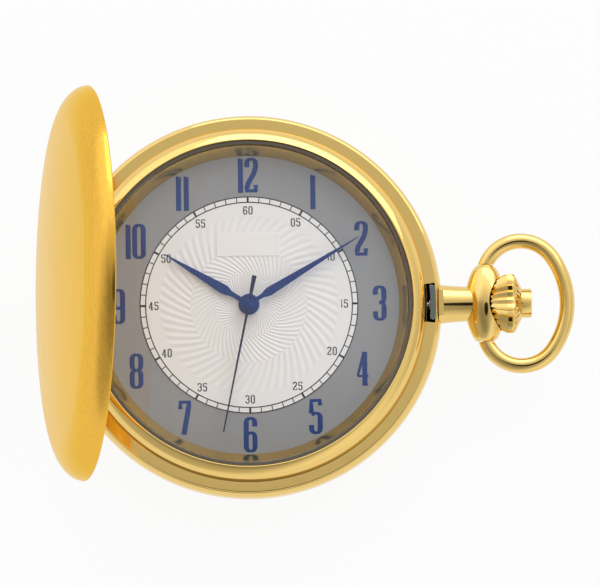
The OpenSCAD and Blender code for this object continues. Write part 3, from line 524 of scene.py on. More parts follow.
def grey_dial(base):
    """Galvanic grey dial ring, brushed from 12 to 6: a soft metallic grey with faint lines"""
    material = finish("brushed_grey_dial", base, 0.25, 0.5)
    lines = grain(material, 0.12 * MM, stretch=(1, 30, 1))
    return vary(material, lines, tones=(0.95, 1.05), relief=(0.003 * MM, 0.4))


def rays(material, radius, turn, count, lean):
    """Pressed ribs that lean from the radius by an angle, from 0 in a groove to 1 on a rib"""
    along = add_node(material, "Math", [radius, MM], operation="DIVIDE")
    along = add_node(material, "Math", [along, math.e], operation="LOGARITHM")
    twist = -math.tan(lean)
    phase = add_node(material, "Math", [along, twist, turn], operation="MULTIPLY_ADD")
    phase = add_node(material, "Math", [phase, count], operation="MULTIPLY")
    wave = add_node(material, "Math", [phase], operation="SINE")
    return add_node(material, "Math", [wave, 0.5, 0.5], operation="MULTIPLY_ADD")


def silvered_dial(base):
    """Silvered dial centre, pressed with a guilloche: three rings of ribs that lean to and fro"""
    sizes = bpy.context.scene.watch_dial
    material = finish("silvered_guilloche", base, 0.1, 0.42)
    place = add_node(material, "TexCoord").outputs["Object"]
    parts = add_node(material, "SeparateXYZ", [place]).outputs
    x, y = parts["X"], parts["Y"]
    turn = add_node(material, "Math", [y, x], operation="ARCTAN2")
    square = add_node(material, "Math", [y, y], operation="MULTIPLY")
    square = add_node(material, "Math", [x, x, square], operation="MULTIPLY_ADD")
    radius = add_node(material, "Math", [square], operation="SQRT")
    height = rays(material, radius, turn, sizes.ribs, sizes.lean_in)
    for start, lean in ((sizes.ribs_mid, sizes.lean_mid), (sizes.ribs_out, sizes.lean_out)):
        past = add_node(material, "Math", [radius, start], operation="GREATER_THAN")
        ring = rays(material, radius, turn, sizes.ribs, lean)
        height = add_node(material, "Mix", [past, height, ring])
    # The middle and the ring under the labels are left plain, at half the ribs' height
    for limit, side in ((sizes.plain_in, "LESS_THAN"), (sizes.plain_out, "GREATER_THAN")):
        plain = add_node(material, "Math", [radius, limit], operation=side)
        height = add_node(material, "Mix", [plain, height, 0.5])
    # The ribs' height also sets the silver's tone: the grooves are painted darker as shade and the crests
    # lighter as a painted highlight, over the real relief.
    return vary(material, height, tones=(0.95, 1.02), relief=(sizes.relief, 1.0))


def crystal_glass():
    """Mineral glass of the crystal, coated against glare: clear, and shadows pass through it"""
    material = finish("mineral_glass", (1, 1, 1), 0.0, 0.0, IOR=1.52, Specular_IOR_Level=0.25,
                      Transmission_Weight=1.0)
    path = add_node(material, "LightPath").outputs
    rays_passed = [path["Is Shadow Ray"], path["Is Diffuse Ray"]]
    passed = add_node(material, "Math", rays_passed, operation="MAXIMUM")
    show_mixed(material, passed, shader_of(material), add_node(material, "BsdfTransparent"))
    return material


def milled_metal(name, base, roughness):
    """Machined metal of the inside: fine tool marks along one way"""
    material = finish(name, base, 1.0, roughness)
    lines = grain(material, 0.06 * MM, stretch=(1, 14, 1))
    return vary(material, lines, roughness=(roughness * 0.8, roughness * 1.25))


def moulded(name, base, roughness):
    """Moulded plastic or rubber: matt, with a faint grain from the mould"""
    material = finish(name, base, 0.0, roughness)
    return vary(material, grain(material, 0.12 * MM), tones=(0.9, 1.08), relief=(0.004 * MM, 0.5))


MATERIALS = {}


def make_materials():
    colours = bpy.context.scene.watch_colours
    MATERIALS.update({
        "gold": polished_gold(colours.gold),
        "satin": satin_gold(colours.satin),
        # The flange ring's darker gold is painted shade and painted reflection from its recess.
        "fine turned": fine_turned_gold(colours.flange),
        "blue": lacquer("blue_lacquer", colours.blue),
        "dark blue": lacquer("dark_blue_lacquer", colours.dark_blue),
        "numeral": printed_ink("numeral_enamel_ink", colours.numeral),
        "ink": printed_ink("black_enamel_ink", colours.ink),
        "grey": grey_dial(colours.grey),
        "silver": silvered_dial(colours.silver),
        "plain": moulded("silvered_plain", colours.silver, 0.45),
        "glass": crystal_glass(),
        "steel": milled_metal("hardened_steel", colours.steel, 0.28),
        # The catch is plain steel: its darker colour is painted shade and a painted reflection of the dark
        # slot it stands in.
        "shaded steel": milled_metal("steel_painted_dark", srgb("7C847E"), 0.3),
        "brass": milled_metal("machined_brass", colours.brass, 0.3),
        "nickel": milled_metal("nickel_plated_brass", srgb("C6C4BE"), 0.24),
        "cell": milled_metal("battery_steel_can", srgb("C9CBCE"), 0.2),
        "iron": milled_metal("soft_iron", srgb("8A8C90"), 0.4),
        "magnet": moulded("sintered_magnet", srgb("3A3B3F"), 0.45),
        "copper": milled_metal("enamelled_copper_wire", srgb("C6743B"), 0.3),
        "board": moulded("epoxy_circuit_board", srgb("1F6B45"), 0.4),
        "chip": moulded("epoxy_resin_chip", srgb("16171A"), 0.5),
        "acetal": moulded("white_acetal", srgb("E8E6DF"), 0.5),
        "nylon": moulded("crystal_gasket_nylon", srgb("5F5A50"), 0.45),
        "rubber": moulded("nitrile_rubber", srgb("1B1B1C"), 0.65),
    })


def dress(piece, material):
    piece.data.materials.clear()
    piece.data.materials.append(MATERIALS[material])


def mount(piece, material, body, *nodes):
    """Gives a piece its material and body, and hides the solids that it stands for"""
    modify(piece, "WEIGHTED_NORMAL", keep_sharp=True)
    dress(piece, material)
    if nodes:
        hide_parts(*nodes)
    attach(piece, body)


# Pieces, one operator for each group

def hinge_axis():
    """Middle of the hinge pin"""
    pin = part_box("hinge_pin")
    return (pin[0] + pin[1]) / 2


def knuckle(cover, index, radius, extra, edge=0.0):
    """One of the hinge's five knuckles, along Y at the hinge's axis"""
    half = cover.knuckle_w / 2 + extra
    line = rod(radius, -half, half)
    if edge:
        line[1:3] = [(radius - edge, -half), (radius, -half + edge), (radius, half - edge),
                     (radius - edge, half)]
    axis = hinge_axis()
    place = (axis.x, (index - 2) * cover.knuckle_w, axis.z)
    return lay(turned("knuckle", line, steps=48), place, -math.pi / 2, "X")


def knuckles(name, cover, indices):
    """The knuckles of one side of the hinge, each a little short of its place"""
    short, edge = 0.02 * MM, 0.1 * MM
    return weld(name, *[knuckle(cover, index, cover.knuckle, -short, edge) for index in indices])


def clear_knuckles(piece, cover, indices):
    """Cuts room for the knuckles of the hinge's other side"""
    round_room, end_room = 0.15 * MM, 0.04 * MM
    for index in indices:
        carve(piece, knuckle(cover, index, cover.knuckle + round_room, end_room))


class BuildCase(bpy.types.Operator):
    """Case middle with its ledge, spring channel and knuckles, and the back cover"""
    bl_idname = "watch.case"
    bl_label = "Case"

    def execute(self, context):
        size, cover = context.scene.watch_case, context.scene.watch_cover
        channel_out = GIRTH_R - size.band_wall
        channel_in = channel_out - size.channel
        bore = channel_in - size.inner_wall
        deck_z = LEDGE_Z - size.deck
        band = self.band_line(size)
        top_r = band[-1][0]
        edge, roll, flare = 0.12 * MM, 0.03 * MM, 0.02 * MM
        middle = turned("case_middle_shell", band[:-1] + [
            (top_r + flare, LEDGE_Z - edge), (top_r - roll, LEDGE_Z - roll), (top_r - edge, LEDGE_Z),
            (bore, LEDGE_Z), (bore, SEAM_Z), (channel_in, SEAM_Z), (channel_in, deck_z),
            (channel_out, deck_z), (channel_out, SEAM_Z), band[0]])
        self.slot(middle, size, channel_out, deck_z)
        clear_knuckles(middle, cover, (1, 3))
        self.stem_bore(middle, context.scene.watch_pendant.neck_r + FIT, bore, channel_in)
        smooth(middle)
        mount(middle, "gold", "root", "case_middle")
        mount(knuckles("case_knuckles", cover, (0, 2, 4)), "gold", "root", "case_middle")
        self.back(size)
        return {"FINISHED"}

    @staticmethod
    def band_line(size):
        """Outside of the band, from the back seam up to the ledge"""
        girth = LEDGE_Z - size.girth_drop
        line = []
        for z in evenly(SEAM_Z, LEDGE_Z, 24):
            if z < girth:
                drawn_in = size.foot_draw * ((girth - z) / (girth - SEAM_Z)) ** 2
            else:
                drawn_in = size.edge_draw * ((z - girth) / size.girth_drop) ** 3
            line.append((GIRTH_R - drawn_in, z))
        return line

    @staticmethod
    def slot(middle, size, channel_out, deck_z):
        """Opens the ledge over the spring channel, where the catch stands"""
        half, skin = math.asin(size.slot_half / channel_out), 0.01 * MM
        section = hoop(BEZEL_R + skin, channel_out - FIT, deck_z - MM, LEDGE_Z + MM)
        tool = turned("slot_tool", section, steps=24, sweep=2 * half)
        cap_holes(tool)
        carve(middle, lay(tool, (0, 0, 0), half, "Z"))

    @staticmethod
    def stem_bore(middle, socket, bore, channel_in):
        """Bores the case along the stem, for the stem, the release washer and the pendant's socket"""
        seat, play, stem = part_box("pendant")[0].x, 0.1 * MM, 0.45 * MM
        washer, wall = high("release_washer") - STEM_Z + play, channel_in + play
        carve(middle, along_stem(turned("stem_bore", [
            (0, bore - MM), (stem, bore - MM), (stem, wall), (washer, wall), (washer, seat),
            (socket, seat), (socket, seat + 2 * MM), (0, seat + 2 * MM)], steps=96)))

    @staticmethod
    def back(size):
        """Back cover: a flat land that rounds up to the seam, and the spigot that it snaps on by"""
        wall, seam, parting = size.back_wall, 0.06 * MM, 0.01 * MM
        foot, top = GIRTH_R - size.foot_draw, SEAM_Z - parting
        reach = foot - size.land
        outside = [(size.land + reach * math.cos(a), top * (1 - math.sin(a)))
                   for a in evenly(math.pi / 2, 0, 32)]
        inner = [(size.land + (reach - wall) * math.cos(a), top - (top - wall) * math.sin(a))
                 for a in evenly(0, math.pi / 2, 20)]
        cover = turned("back_cover_shell", [(0, 0)] + outside[:-1]
                       + [(foot, top - seam), (foot - seam, top)] + inner + [(0, wall)])
        bore, groove, spigot_in = outer("back_gasket"), 0.3 * MM, 0.9 * MM
        section = hoop(bore - spigot_in, bore - groove, top - groove, high("back_cover"))
        spigot = turned("back_spigot", section)
        mount(cover, "gold", "root", "back_cover")
        mount(spigot, "gold", "root", "back_cover")


class BuildCover(bpy.types.Operator):
    """Front cover: a domed shell with a rolled rim and two knuckles, standing open"""
    bl_idname = "watch.front_cover"
    bl_label = "Front cover"

    def execute(self, context):
        size = context.scene.watch_cover
        lid_r = GIRTH_R + size.over
        floor = LEDGE_Z + size.gap
        middle = lid_r - size.shoulder
        outside = self.dome(middle, size.shoulder, size.rise, size.crown)
        inside = self.dome(middle, size.shoulder - size.lip, size.rise - size.wall, size.crown)
        ease = 0.12 * MM
        rim = [(inside[0][0], ease), (inside[0][0] + ease, 0), (lid_r - ease, 0), (lid_r, ease)]
        line = rim + outside[1:] + inside[:0:-1] + rim[:1]
        shell = turned("front_cover_shell", [(r, z + floor) for r, z in line], steps=300)
        clear_knuckles(shell, size, (0, 2, 4))
        smooth(shell)
        lugs = knuckles("cover_knuckles", size, (1, 3))
        axis = hinge_axis()
        swing = Matrix.Translation(axis) @ Matrix.Rotation(-size.opened, 4, "Y") @ Matrix.Translation(-axis)
        for piece, material in ((shell, "satin"), (lugs, "gold")):
            piece.matrix_world = swing @ piece.matrix_world
            settle(piece)
            mount(piece, material, "front_cover", "front_cover")
        return {"FINISHED"}

    @staticmethod
    def dome(middle, reach, rise, crown):
        """Shoulder that runs without a crease into the shallow crown: radius and height"""
        fall = 2 * crown / middle
        full = math.atan2(rise, reach * fall)
        side = [(middle + reach * math.cos(a), rise * math.sin(a)) for a in evenly(0, full, 36)]
        edge_r, edge_z = side[-1]
        return side + [(edge_r * u, edge_z + fall * edge_r / 2 * (1 - u * u)) for u in evenly(1, 0, 24)[1:]]


class BuildBezel(bpy.types.Operator):
    """Bezel, sloped flange ring, crystal, and the catch in the ledge's slot"""
    bl_idname = "watch.bezel"
    bl_label = "Bezel and crystal"

    def execute(self, context):
        size = context.scene.watch_case
        self.bezel(size)
        self.flange()
        self.crystal(high("flange_ring"))
        self.catch(size)
        return {"FINISHED"}

    @staticmethod
    def bezel(size):
        """Polished ring whose side is one curve, from upright at the ledge to nearly level at its lip"""
        inside, bore = outer("crystal_gasket") + FIT, outer("back_gasket")
        edge, roll, lip = 0.12 * MM, 0.03 * MM, 0.04 * MM
        top, foot = LEDGE_Z + size.bezel_rise, LEDGE_Z - size.bezel_spigot
        reach, full = BEZEL_R - inside - edge, math.radians(74)
        side = [(BEZEL_R - reach * (1 - math.cos(a)) / (1 - math.cos(full)),
                 LEDGE_Z + size.bezel_rise * math.sin(a) / math.sin(full)) for a in evenly(0, full, 28)]
        line = side + [(inside + lip, top - roll), (inside, top - edge), (inside, foot), (bore, foot),
                       (bore, LEDGE_Z), side[0]]
        mount(turned("bezel_ring", line), "gold", "root", "bezel")

    @staticmethod
    def flange():
        """Ring between dial and crystal, with the slope that its solid has"""
        top, near, edge = high("flange_ring"), 0.01 * MM, 0.05 * MM
        points = [(math.hypot(v.co.x, v.co.y), v.co.z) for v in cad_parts["flange_ring"].data.vertices]
        foot_r = min(r for r, z in points)
        top_r = min(r for r, z in points if z > top - near)
        ring = turned("flange_slope", [
            (foot_r, LEDGE_Z), (foot_r, LEDGE_Z + edge), (foot_r + 0.6 * edge, LEDGE_Z + 2 * edge),
            (top_r - edge, top - 1.2 * edge), (top_r + 0.8 * edge, top), (FLANGE_R, top),
            (FLANGE_R, LEDGE_Z), (foot_r, LEDGE_Z)])
        mount(ring, "fine turned", "root", "flange_ring")

    @staticmethod
    def crystal(floor):
        """Crystal with upright sides, slightly domed"""
        side, ease = 0.55 * MM, 0.08 * MM
        edge = floor + side
        rise = high("crystal") - edge
        dome = [(CRYSTAL_R * u, edge + rise * (1 - u * u)) for u in evenly(1, 0, 24)[1:]]
        line = [(0, floor), (CRYSTAL_R - ease, floor), (CRYSTAL_R, floor + ease), (CRYSTAL_R, edge - ease),
                (CRYSTAL_R - ease, edge)] + dome
        mount(turned("crystal_dome", line), "glass", "root", "crystal")

    @staticmethod
    def catch(size):
        """The part of the lock spring that shows in the slot: a curved steel tongue with round ends"""
        skin, thick, sunk, edge = 0.02 * MM, 0.62 * MM, 0.5 * MM, 0.06 * MM
        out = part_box("lock_spring")[1].x + skin
        inside = out - thick - 2 * skin
        middle, half = (out + inside) / 2, (out - inside) / 2
        reach = math.degrees(math.asin((size.catch_half - half) / middle))
        near, far = [arc((0, 0), middle, end, end, 1)[0] for end in (-reach, reach)]
        outline = (arc((0, 0), out, -reach, reach, 16) + arc(far, half, reach, reach + 180, 12)[1:]
                   + arc((0, 0), inside, reach, -reach, 16)[1:]
                   + arc(near, half, 180 - reach, 360 - reach, 12)[1:-1])
        tall = size.catch_rise + sunk + skin
        # The tongue's darker steel is painted shade from the slot.
        mount(cut_sheet("catch_tongue", outline, LEDGE_Z - sunk, tall, edge), "shaded steel", "lock_spring")


class BuildDial(bpy.types.Operator):
    """Dial plate, pressed centre, minute track, labels and hour numerals"""
    bl_idname = "watch.dial"
    bl_label = "Dial"

    def execute(self, context):
        size = context.scene.watch_dial
        thick, sunk, hole = 0.4 * MM, 0.02 * MM, 0.75 * MM
        back, step = high("dial") - thick, DIAL_Z - sunk
        plate = turned("dial_plate", [(hole, back), (DIAL_R, back), (DIAL_R, step), (size.track_out, step),
                                      (hole, step), (hole, back)])
        mount(plate, "grey", "root", "dial")
        mount(turned("dial_centre", hoop(hole, size.track_out, step, DIAL_Z)), "silver", "root", "dial")
        self.plaque()
        self.track(size)
        labels = figure_row([f"{5 * i if i else 60:02d}" for i in range(12)], size.label_r, size.label_h,
                            share=0.48, gap=0.13 * MM, heavy=0.075 * MM, fine=0.06 * MM, serif=False)
        mount(printed("minute_labels", labels, size.ink), "ink", "root", "dial")
        numerals = figure_row([str(i or 12) for i in range(12)], size.numeral_r, size.numeral_h,
                              share=0.375, gap=0.02 * MM, heavy=size.stroke, fine=size.hairline, serif=True)
        mount(printed("hour_numerals", numerals, size.ink * 2), "numeral", "root", "dial")
        return {"FINISHED"}

    @staticmethod
    def plaque():
        """Plain raised rectangle under 12"""
        across, up, place, round_r = 3.85 * MM, 1.42 * MM, 7.35 * MM, 0.1 * MM
        outline = eased([(u * across, place + v * up, round_r)
                         for u, v in ((-1, -1), (1, -1), (1, 1), (-1, 1))])
        thick, edge = 0.08 * MM, 0.05 * MM
        mount(cut_sheet("dial_plaque", outline[:-1], DIAL_Z, thick, edge), "plain", "root", "dial")

    @staticmethod
    def track(size):
        """Two printed lines with sixty marks between them, heavier at each hour"""
        parts = [turned("track", hoop(radius - size.line, radius, DIAL_Z, DIAL_Z + size.ink))
                 for radius in (size.track_out, size.track_in)]
        start, end = size.track_in - size.line / 2, size.track_out - size.line / 2
        hour_half, minute_half = size.line * 0.95, size.line * 0.42
        for i in range(60):
            half = minute_half if i % 5 else hour_half
            outline = [(start, -half), (end, -half), (end, half), (start, half)]
            mark = cut_sheet("mark", outline, DIAL_Z, size.ink)
            parts.append(lay(mark, (0, 0, 0), math.radians(6 * i), "Z"))
        mount(weld("minute_track", *parts), "ink", "root", "dial")


def arch(y, bend, start, end):
    """Part of a figure's bowl about its middle line: heavy at the sides and fine at the crest"""
    angles = [math.radians(angle) for angle in evenly(start, end, 8)]
    return [(math.cos(a), y + bend * math.sin(a), abs(math.cos(a))) for a in angles]


def figure(digit, bend, serif):
    """Pen strokes of one figure in a box from -1 to 1: across, up and weight"""
    top, foot = 1 - bend, bend - 1
    over, under = arch(top, bend, 0, 180), arch(foot, bend, 180, 360)
    if digit == "1" and not serif:
        return [[(0.4, -1, 1), (0.4, 1, 1), (-0.9, 0.7, 0.5)]]
    return {
        "0": [over + under],
        "1": [[(0, 1, 1), (0, -1, 1)], [(-2, -1, 0), (2, -1, 0)], [(-2, 0.98, 0), (0, 0.98, 0)]],
        "2": [[(-1, 0.5, 1)] + arch(top, bend, 180, 0)
              + [(1, 0.5, 1), (0.6, 0.12, 1), (-0.75, -0.5, 1), (-1, -0.75, 1), (-1, -0.95, 0.8),
                 (1, -0.95, 0.8), (1, -0.6, 0.8)]],
        "3": [[(-1, 0.52, 1)] + arch(top, bend, 180, 0) + [(1, 0.3, 1), (0.9, 0.12, 0.7), (-0.1, 0.04, 0)],
              [(-0.1, 0.04, 0), (0.9, -0.04, 0.7), (1, -0.22, 1)] + arch(foot, bend, 0, -180)
              + [(-1, -0.5, 1)]],
        "4": [[(0.4, 1, 1), (0.4, -1, 1)], [(0.3, 0.98, 0.4), (-1.25, -0.45, 0.1)],
              [(-1.3, -0.47, 0), (1.25, -0.47, 0)], [(-0.2, -1, 0), (1.1, -1, 0)]],
        "5": [[(1, 0.68, 0.8), (1, 0.97, 0.7), (-1, 0.97, 0.7), (-1, 0.2, 1)],
              [(-1, 0.1, 0)] + arch(0.2 - bend, bend, 130, 0) + arch(foot, bend, 0, -180)
              + [(-1, -0.52, 1)]],
        "6": [[(1, 0.5, 1)] + over + under + arch(0.12 - bend, bend, 0, 165)],
        "7": [[(-1, 0.55, 0.8), (-1, 0.97, 0.7), (1, 0.97, 0.9), (0.9, 0.7, 1), (-0.25, -1, 1)]],
        "8": [over + arch(0.05 + bend, bend, 180, 360), arch(0.05 - bend, bend, 0, 180) + under],
        "9": [[(-1, -0.5, 1)] + under + over + arch(bend - 0.12, bend, 180, 345)],
    }[digit]


def figure_row(words, radius, height, share, gap, heavy, fine, serif):
    """Strokes of upright figures, and if each closes: the words stand at the hours, from 12 clockwise"""
    strokes = []
    # A 1 takes about half the width of the others
    broad, narrow = height * share, height * share * 0.55
    half_h = height / 2 - (heavy + fine) / 2
    bend = (broad / 2 - heavy) / half_h
    for i, word in enumerate(words):
        turn = math.radians(90 - 30 * i)
        widths = [narrow if digit == "1" else broad for digit in word]
        x, y = radius * math.cos(turn), radius * math.sin(turn)
        x -= (sum(widths) + gap * (len(word) - 1)) / 2
        for digit, width in zip(word, widths):
            half_w = width / 2 - heavy
            middle = x + width / 2
            for points in figure(digit, bend, serif):
                strokes.append(([(middle + half_w * u, y + half_h * v, fine + (heavy - fine) * w)
                                 for u, v, w in points], digit in "08"))
            x += width + gap
    return strokes


def printed(name, strokes, ink):
    """Prints pen strokes on the dial: round strokes along their lines, pressed almost flat"""
    bpy.ops.object.select_all(action="DESELECT")
    bpy.ops.curve.primitive_bezier_curve_add()
    line = bpy.context.object.data
    line.splines.clear()
    line.dimensions = "3D"
    line.bevel_depth = MM
    line.bevel_resolution = 2
    line.use_fill_caps = True
    heaviest = max(point[2] for points, closed in strokes for point in points)
    for points, closed in strokes:
        spline = line.splines.new("POLY")
        spline.points.add(len(points) - 1)
        spline.use_cyclic_u = closed
        for spot, (x, y, radius) in zip(spline.points, points):
            spot.co = (x, y, 0, 1)
            spot.radius = radius / MM
    bpy.ops.object.convert(target="MESH")
    layer = bpy.context.object
    layer.name = name
    layer.scale.z = ink / heaviest
    layer.location.z = DIAL_Z
    settle(layer)
    smooth(layer, 60)
    return layer


class BuildHands(bpy.types.Operator):
    """Hour, minute and second hand"""
    bl_idname = "watch.hands"
    bl_label = "Hands"

    def execute(self, context):
        size = context.scene.watch_hands
        hour = self.leaf("hour_leaf", "hour_hand", size, long=size.hour_len, waist=2.5 * MM, wide=3.4 * MM,
                         half=0.61 * MM, neck=0.29 * MM, hub=size.hub + 0.1 * MM, bore=0.62 * MM)
        minute = self.leaf("minute_leaf", "minute_hand", size, long=size.minute_len, waist=2.0 * MM,
                           wide=2.65 * MM, half=0.55 * MM, neck=0.25 * MM, hub=size.hub, bore=0.37 * MM)
        self.set_hand(hour, size.hour_at, "blue", "hours", "hour_hand")
        self.set_hand(minute, size.minute_at, "blue", "minutes", "minute_hand")
        self.set_hand(self.sweep(size), size.second_at, "dark blue", "seconds", "second_hand")
        return {"FINISHED"}

    @staticmethod
    def set_hand(piece, at, finish_name, body, node):
        """Turns a hand made along X to its place, clockwise from 12"""
        mount(lay(piece, (0, 0, 0), math.pi / 2 - at, "Z"), finish_name, body, node)

    @staticmethod
    def hub(name, node, bore, radius):
        """Round hub as thick as the hand's solid, eased at its top edge"""
        floor, top, ease = low(node), high(node), 0.05 * MM
        return turned(name, [(bore, floor), (radius, floor), (radius, top - ease), (radius - ease, top),
                             (bore, top), (bore, floor)], steps=96)

    def leaf(self, name, node, size, long, waist, wide, half, neck, hub, bore):
        """Blade with a narrow neck up to its waist, then widest, then straight to the tip"""
        start, tip, waist_round, wide_round = hub * 0.9, 0.045 * MM, 0.3 * MM, 0.4 * MM
        side = [(start, neck, 0), (waist, neck, waist_round), (wide, half, wide_round), (long, tip, 0)]
        outline = eased([(x, -y, r) for x, y, r in side] + side[::-1])
        blade = cut_sheet(name, outline[:-1], low(node), high(node) - low(node), size.edge)
        return weld(name, blade, self.hub(name, node, bore, hub))

    def sweep(self, size):
        """Second hand in dark lacquer, with its collet and cap in the blue of the others"""
        node, collet, bore, edge = "second_hand", 0.62 * MM, 0.13 * MM, 0.02 * MM
        blades, inside = [], collet * 0.85
        # Needle and tail: where each starts and ends, and half its width there
        for start, end, half_start, half_end in (
                (inside, size.second_len, 0.15 * MM, 0.08 * MM),
                (-size.tail, -inside, 0.29 * MM, 0.165 * MM)):
            outline = [(start, -half_start), (end, -half_end), (end, half_end), (start, half_start)]
            blades.append(cut_sheet("blade", outline, low(node), high(node) - low(node), edge))
        mount(weld("second_collet", self.hub("second_collet", node, bore, collet), self.cap(node)),
              "blue", "seconds", node)
        return weld("second_needle", *blades)

    @staticmethod
    def cap(node):
        """Little domed cap that closes the hub's bore"""
        top, reach, sunk, cover = high(node), 0.34 * MM, 0.03 * MM, 0.06 * MM
        rise = max(high("seconds_wheel") - top, 0) + cover
        dome = [(reach * math.cos(a), top + rise * math.sin(a)) for a in evenly(0, math.pi / 2, 6)]
        return turned("second_cap", [(0, top - sunk), (reach, top - sunk)] + dome, steps=64)


class BuildPendant(bpy.types.Operator):
    """Neck and turned head, scooped out for the crown"""
    bl_idname = "watch.pendant"
    bl_label = "Pendant"

    def execute(self, context):
        size, bore, clear = context.scene.watch_pendant, 0.85 * MM, 0.1 * MM
        lid_r = GIRTH_R + context.scene.watch_cover.over + clear
        foot_r = GIRTH_R - context.scene.watch_case.foot_draw + clear
        self.neck(size, bore, lid_r, foot_r)
        head = turned("pendant_head", self.head_line(size), steps=160)
        across_stem(head, size.head_x - size.head_back)
        # The scoop is the crown's own outline, a gap larger, with the stem's bore behind it
        behind = 5 * MM
        scoop = (rod(bore, size.head_x - behind, CROWN_X - size.gap)[:3]
                 + [(r + size.gap, x - size.gap) for r, x in crown_line()] + [(0, CROWN_END)])
        carve(head, along_stem(turned("scoop", scoop, steps=128)))
        depth, play, beyond = 2 * MM, 0.05 * MM, 1.1 * MM
        for side in (-1, 1):
            hole = turned("hole", rod(size.bow_pin + play, -depth, depth), steps=48)
            across_stem(hole, size.head_x)
            hole.location.y = side * (HEAD_HALF + beyond)
            settle(hole)
            carve(head, hole)
        round_edges(head, 0.05 * MM, 2, 40)
        smooth(head)
        mount(head, "gold", "root", "pendant")
        return {"FINISHED"}

    @staticmethod
    def neck(size, bore, lid_r, foot_r):
        """Waisted neck with a wider bore at its foot, cut away where the shut cover and the back lie"""
        seat, foot_bore, foot_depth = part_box("pendant")[0].x, 1.5 * MM, 1.35 * MM
        end, pinch = size.head_x - 0.6 * MM, 0.07 * MM
        waist = [(size.neck_r + (size.neck_top - size.neck_r) * u - pinch * math.sin(math.pi * u),
                  seat + (end - seat) * u) for u in evenly(0, 1, 12)]
        neck = along_stem(turned("pendant_neck", [(foot_bore, seat)] + waist + [
            (bore, end), (bore, seat + foot_depth), (foot_bore, seat + foot_depth),
            (foot_bore, seat)], steps=128))
        tall, over = 2 * MM, 0.05 * MM
        carve(neck, turned("cover_room", rod(lid_r, LEDGE_Z, LEDGE_Z + tall)))
        carve(neck, turned("back_room", rod(foot_r, SEAM_Z - tall, SEAM_Z + over)))
        smooth(neck)
        mount(neck, "gold", "root", "pendant")

    @staticmethod
    def head_line(size):
        """Barrel that swells to its middle and rounds off at both ends"""
        line, steps, end_round = [(0, -HEAD_HALF)], 24, 0.3 * MM
        for i in range(-steps, steps + 1):
            u = abs(i) / steps
            swell = (1 - u ** 1.7) ** 0.9
            radius = size.head_end + (size.head_r - size.head_end) * swell - end_round * u ** 14
            line.append((radius, HEAD_HALF * i / steps))
        return line + [(0, HEAD_HALF)]


def crown_line():
    """Outline of the crown, from the pendant outwards: radius and distance along the stem"""
    line = [(CROWN_R * share, CROWN_X + place * MM) for share, place in (
        (CROWN_FOOT, 0), (0.68, 0.45), (0.86, 1.4), (0.985, 2.55), (1, 2.65), (1, 3.5))]
    rim = 0.42 * MM
    return line + [(bpy.context.scene.watch_pendant.button_r + rim, CROWN_END)]


class BuildCrown(bpy.types.Operator):
    """Fluted onion crown with the release button in it, and the button's spring"""
    bl_idname = "watch.crown"
    bl_label = "Crown and button"

    per_flute = 8
    ease = 0.1 * MM

    def execute(self, context):
        size = context.scene.watch_pendant
        bore, play, depth, rim = 0.82 * MM, 0.05 * MM, 2 * MM, 0.15 * MM
        hole, floor = size.button_r + play, CROWN_END - depth
        # Both ends of the outline stay sharp, so the points that would round them are left off
        outside = eased([(r, x, 0.3 * MM) for r, x in crown_line()], 3)[4:-5]
        line = ([(bore, CROWN_X), (CROWN_R * CROWN_FOOT, CROWN_X)] + outside
                + [(hole + self.ease, CROWN_END), (hole, CROWN_END - self.ease), (hole, floor),
                   (bore, floor), (bore, CROWN_X)])
        crown = turned("crown_fluted", line, steps=size.flutes * self.per_flute)
        self.press_flutes(crown, size, hole + rim)
        along_stem(crown)
        smooth(crown, 26)
        mount(crown, "gold", "crown", "crown")
        self.button(size.button_r)
        self.spring(size)
        return {"FINISHED"}

    def press_flutes(self, crown, size, rim_r):
        """Draws the outside in towards the stem's axis along every flute"""
        pitch = math.tau / size.flutes / self.per_flute
        for near in range(self.per_flute // 2):
            alone(crown)
            bpy.ops.object.mode_set(mode="EDIT")
            bpy.ops.mesh.select_all(action="DESELECT")
            bpy.ops.object.mode_set(mode="OBJECT")
            for vertex in crown.data.vertices:
                radius = math.hypot(vertex.co.x, vertex.co.y)
                index = round(math.atan2(vertex.co.y, vertex.co.x) / pitch) % self.per_flute
                vertex.select = radius > rim_r and abs(index - self.per_flute // 2) == near
            bpy.ops.object.mode_set(mode="EDIT")
            squeeze = 1 - (1 - 2 * near / self.per_flute) * size.flute / CROWN_R
            bpy.ops.transform.resize(value=(squeeze, squeeze, 1), center_override=(0, 0, 0))
            bpy.ops.object.mode_set(mode="OBJECT")

    def button(self, radius):
        """Button with its rod through the crown"""
        start, rod_r, sunk, edge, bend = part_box("pusher")[0].x, 0.46 * MM, 1.15 * MM, 0.16 * MM, 0.05 * MM
        head, end = CROWN_END - sunk, BUTTON_END
        button = turned("release_button", [
            (0, start), (rod_r, start), (rod_r, head), (radius - self.ease, head),
            (radius, head + self.ease), (radius, end - edge), (radius - bend, end - bend),
            (radius - edge, end), (0, end)], steps=96)
        mount(along_stem(button), "gold", "release", "pusher")

    @staticmethod
    def spring(size):
        """Return spring under the button: three turns of wire, built as a fixed coil; on the watch they
        close up as the button goes in
        """
        start, end = [corner.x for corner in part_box("pusher_spring")]
        wire, turns, inset = 0.05 * MM, 3, 0.6 * MM
        bpy.ops.object.select_all(action="DESELECT")
        bpy.ops.mesh.primitive_circle_add(vertices=16, radius=wire, rotation=(math.pi / 2, 0, 0),
                                          location=(size.button_r - inset, 0, start + wire))
        coil = bpy.context.object
        coil.name = "button_spring"
        settle(coil)
        modify(coil, "SCREW", screw_offset=(end - start - 2 * wire) / turns, iterations=turns,
               steps=48, render_steps=48)
        cap_holes(coil)
        smooth(coil)
        mount(along_stem(coil), "steel", "release", "pusher_spring")
        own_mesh(coil)


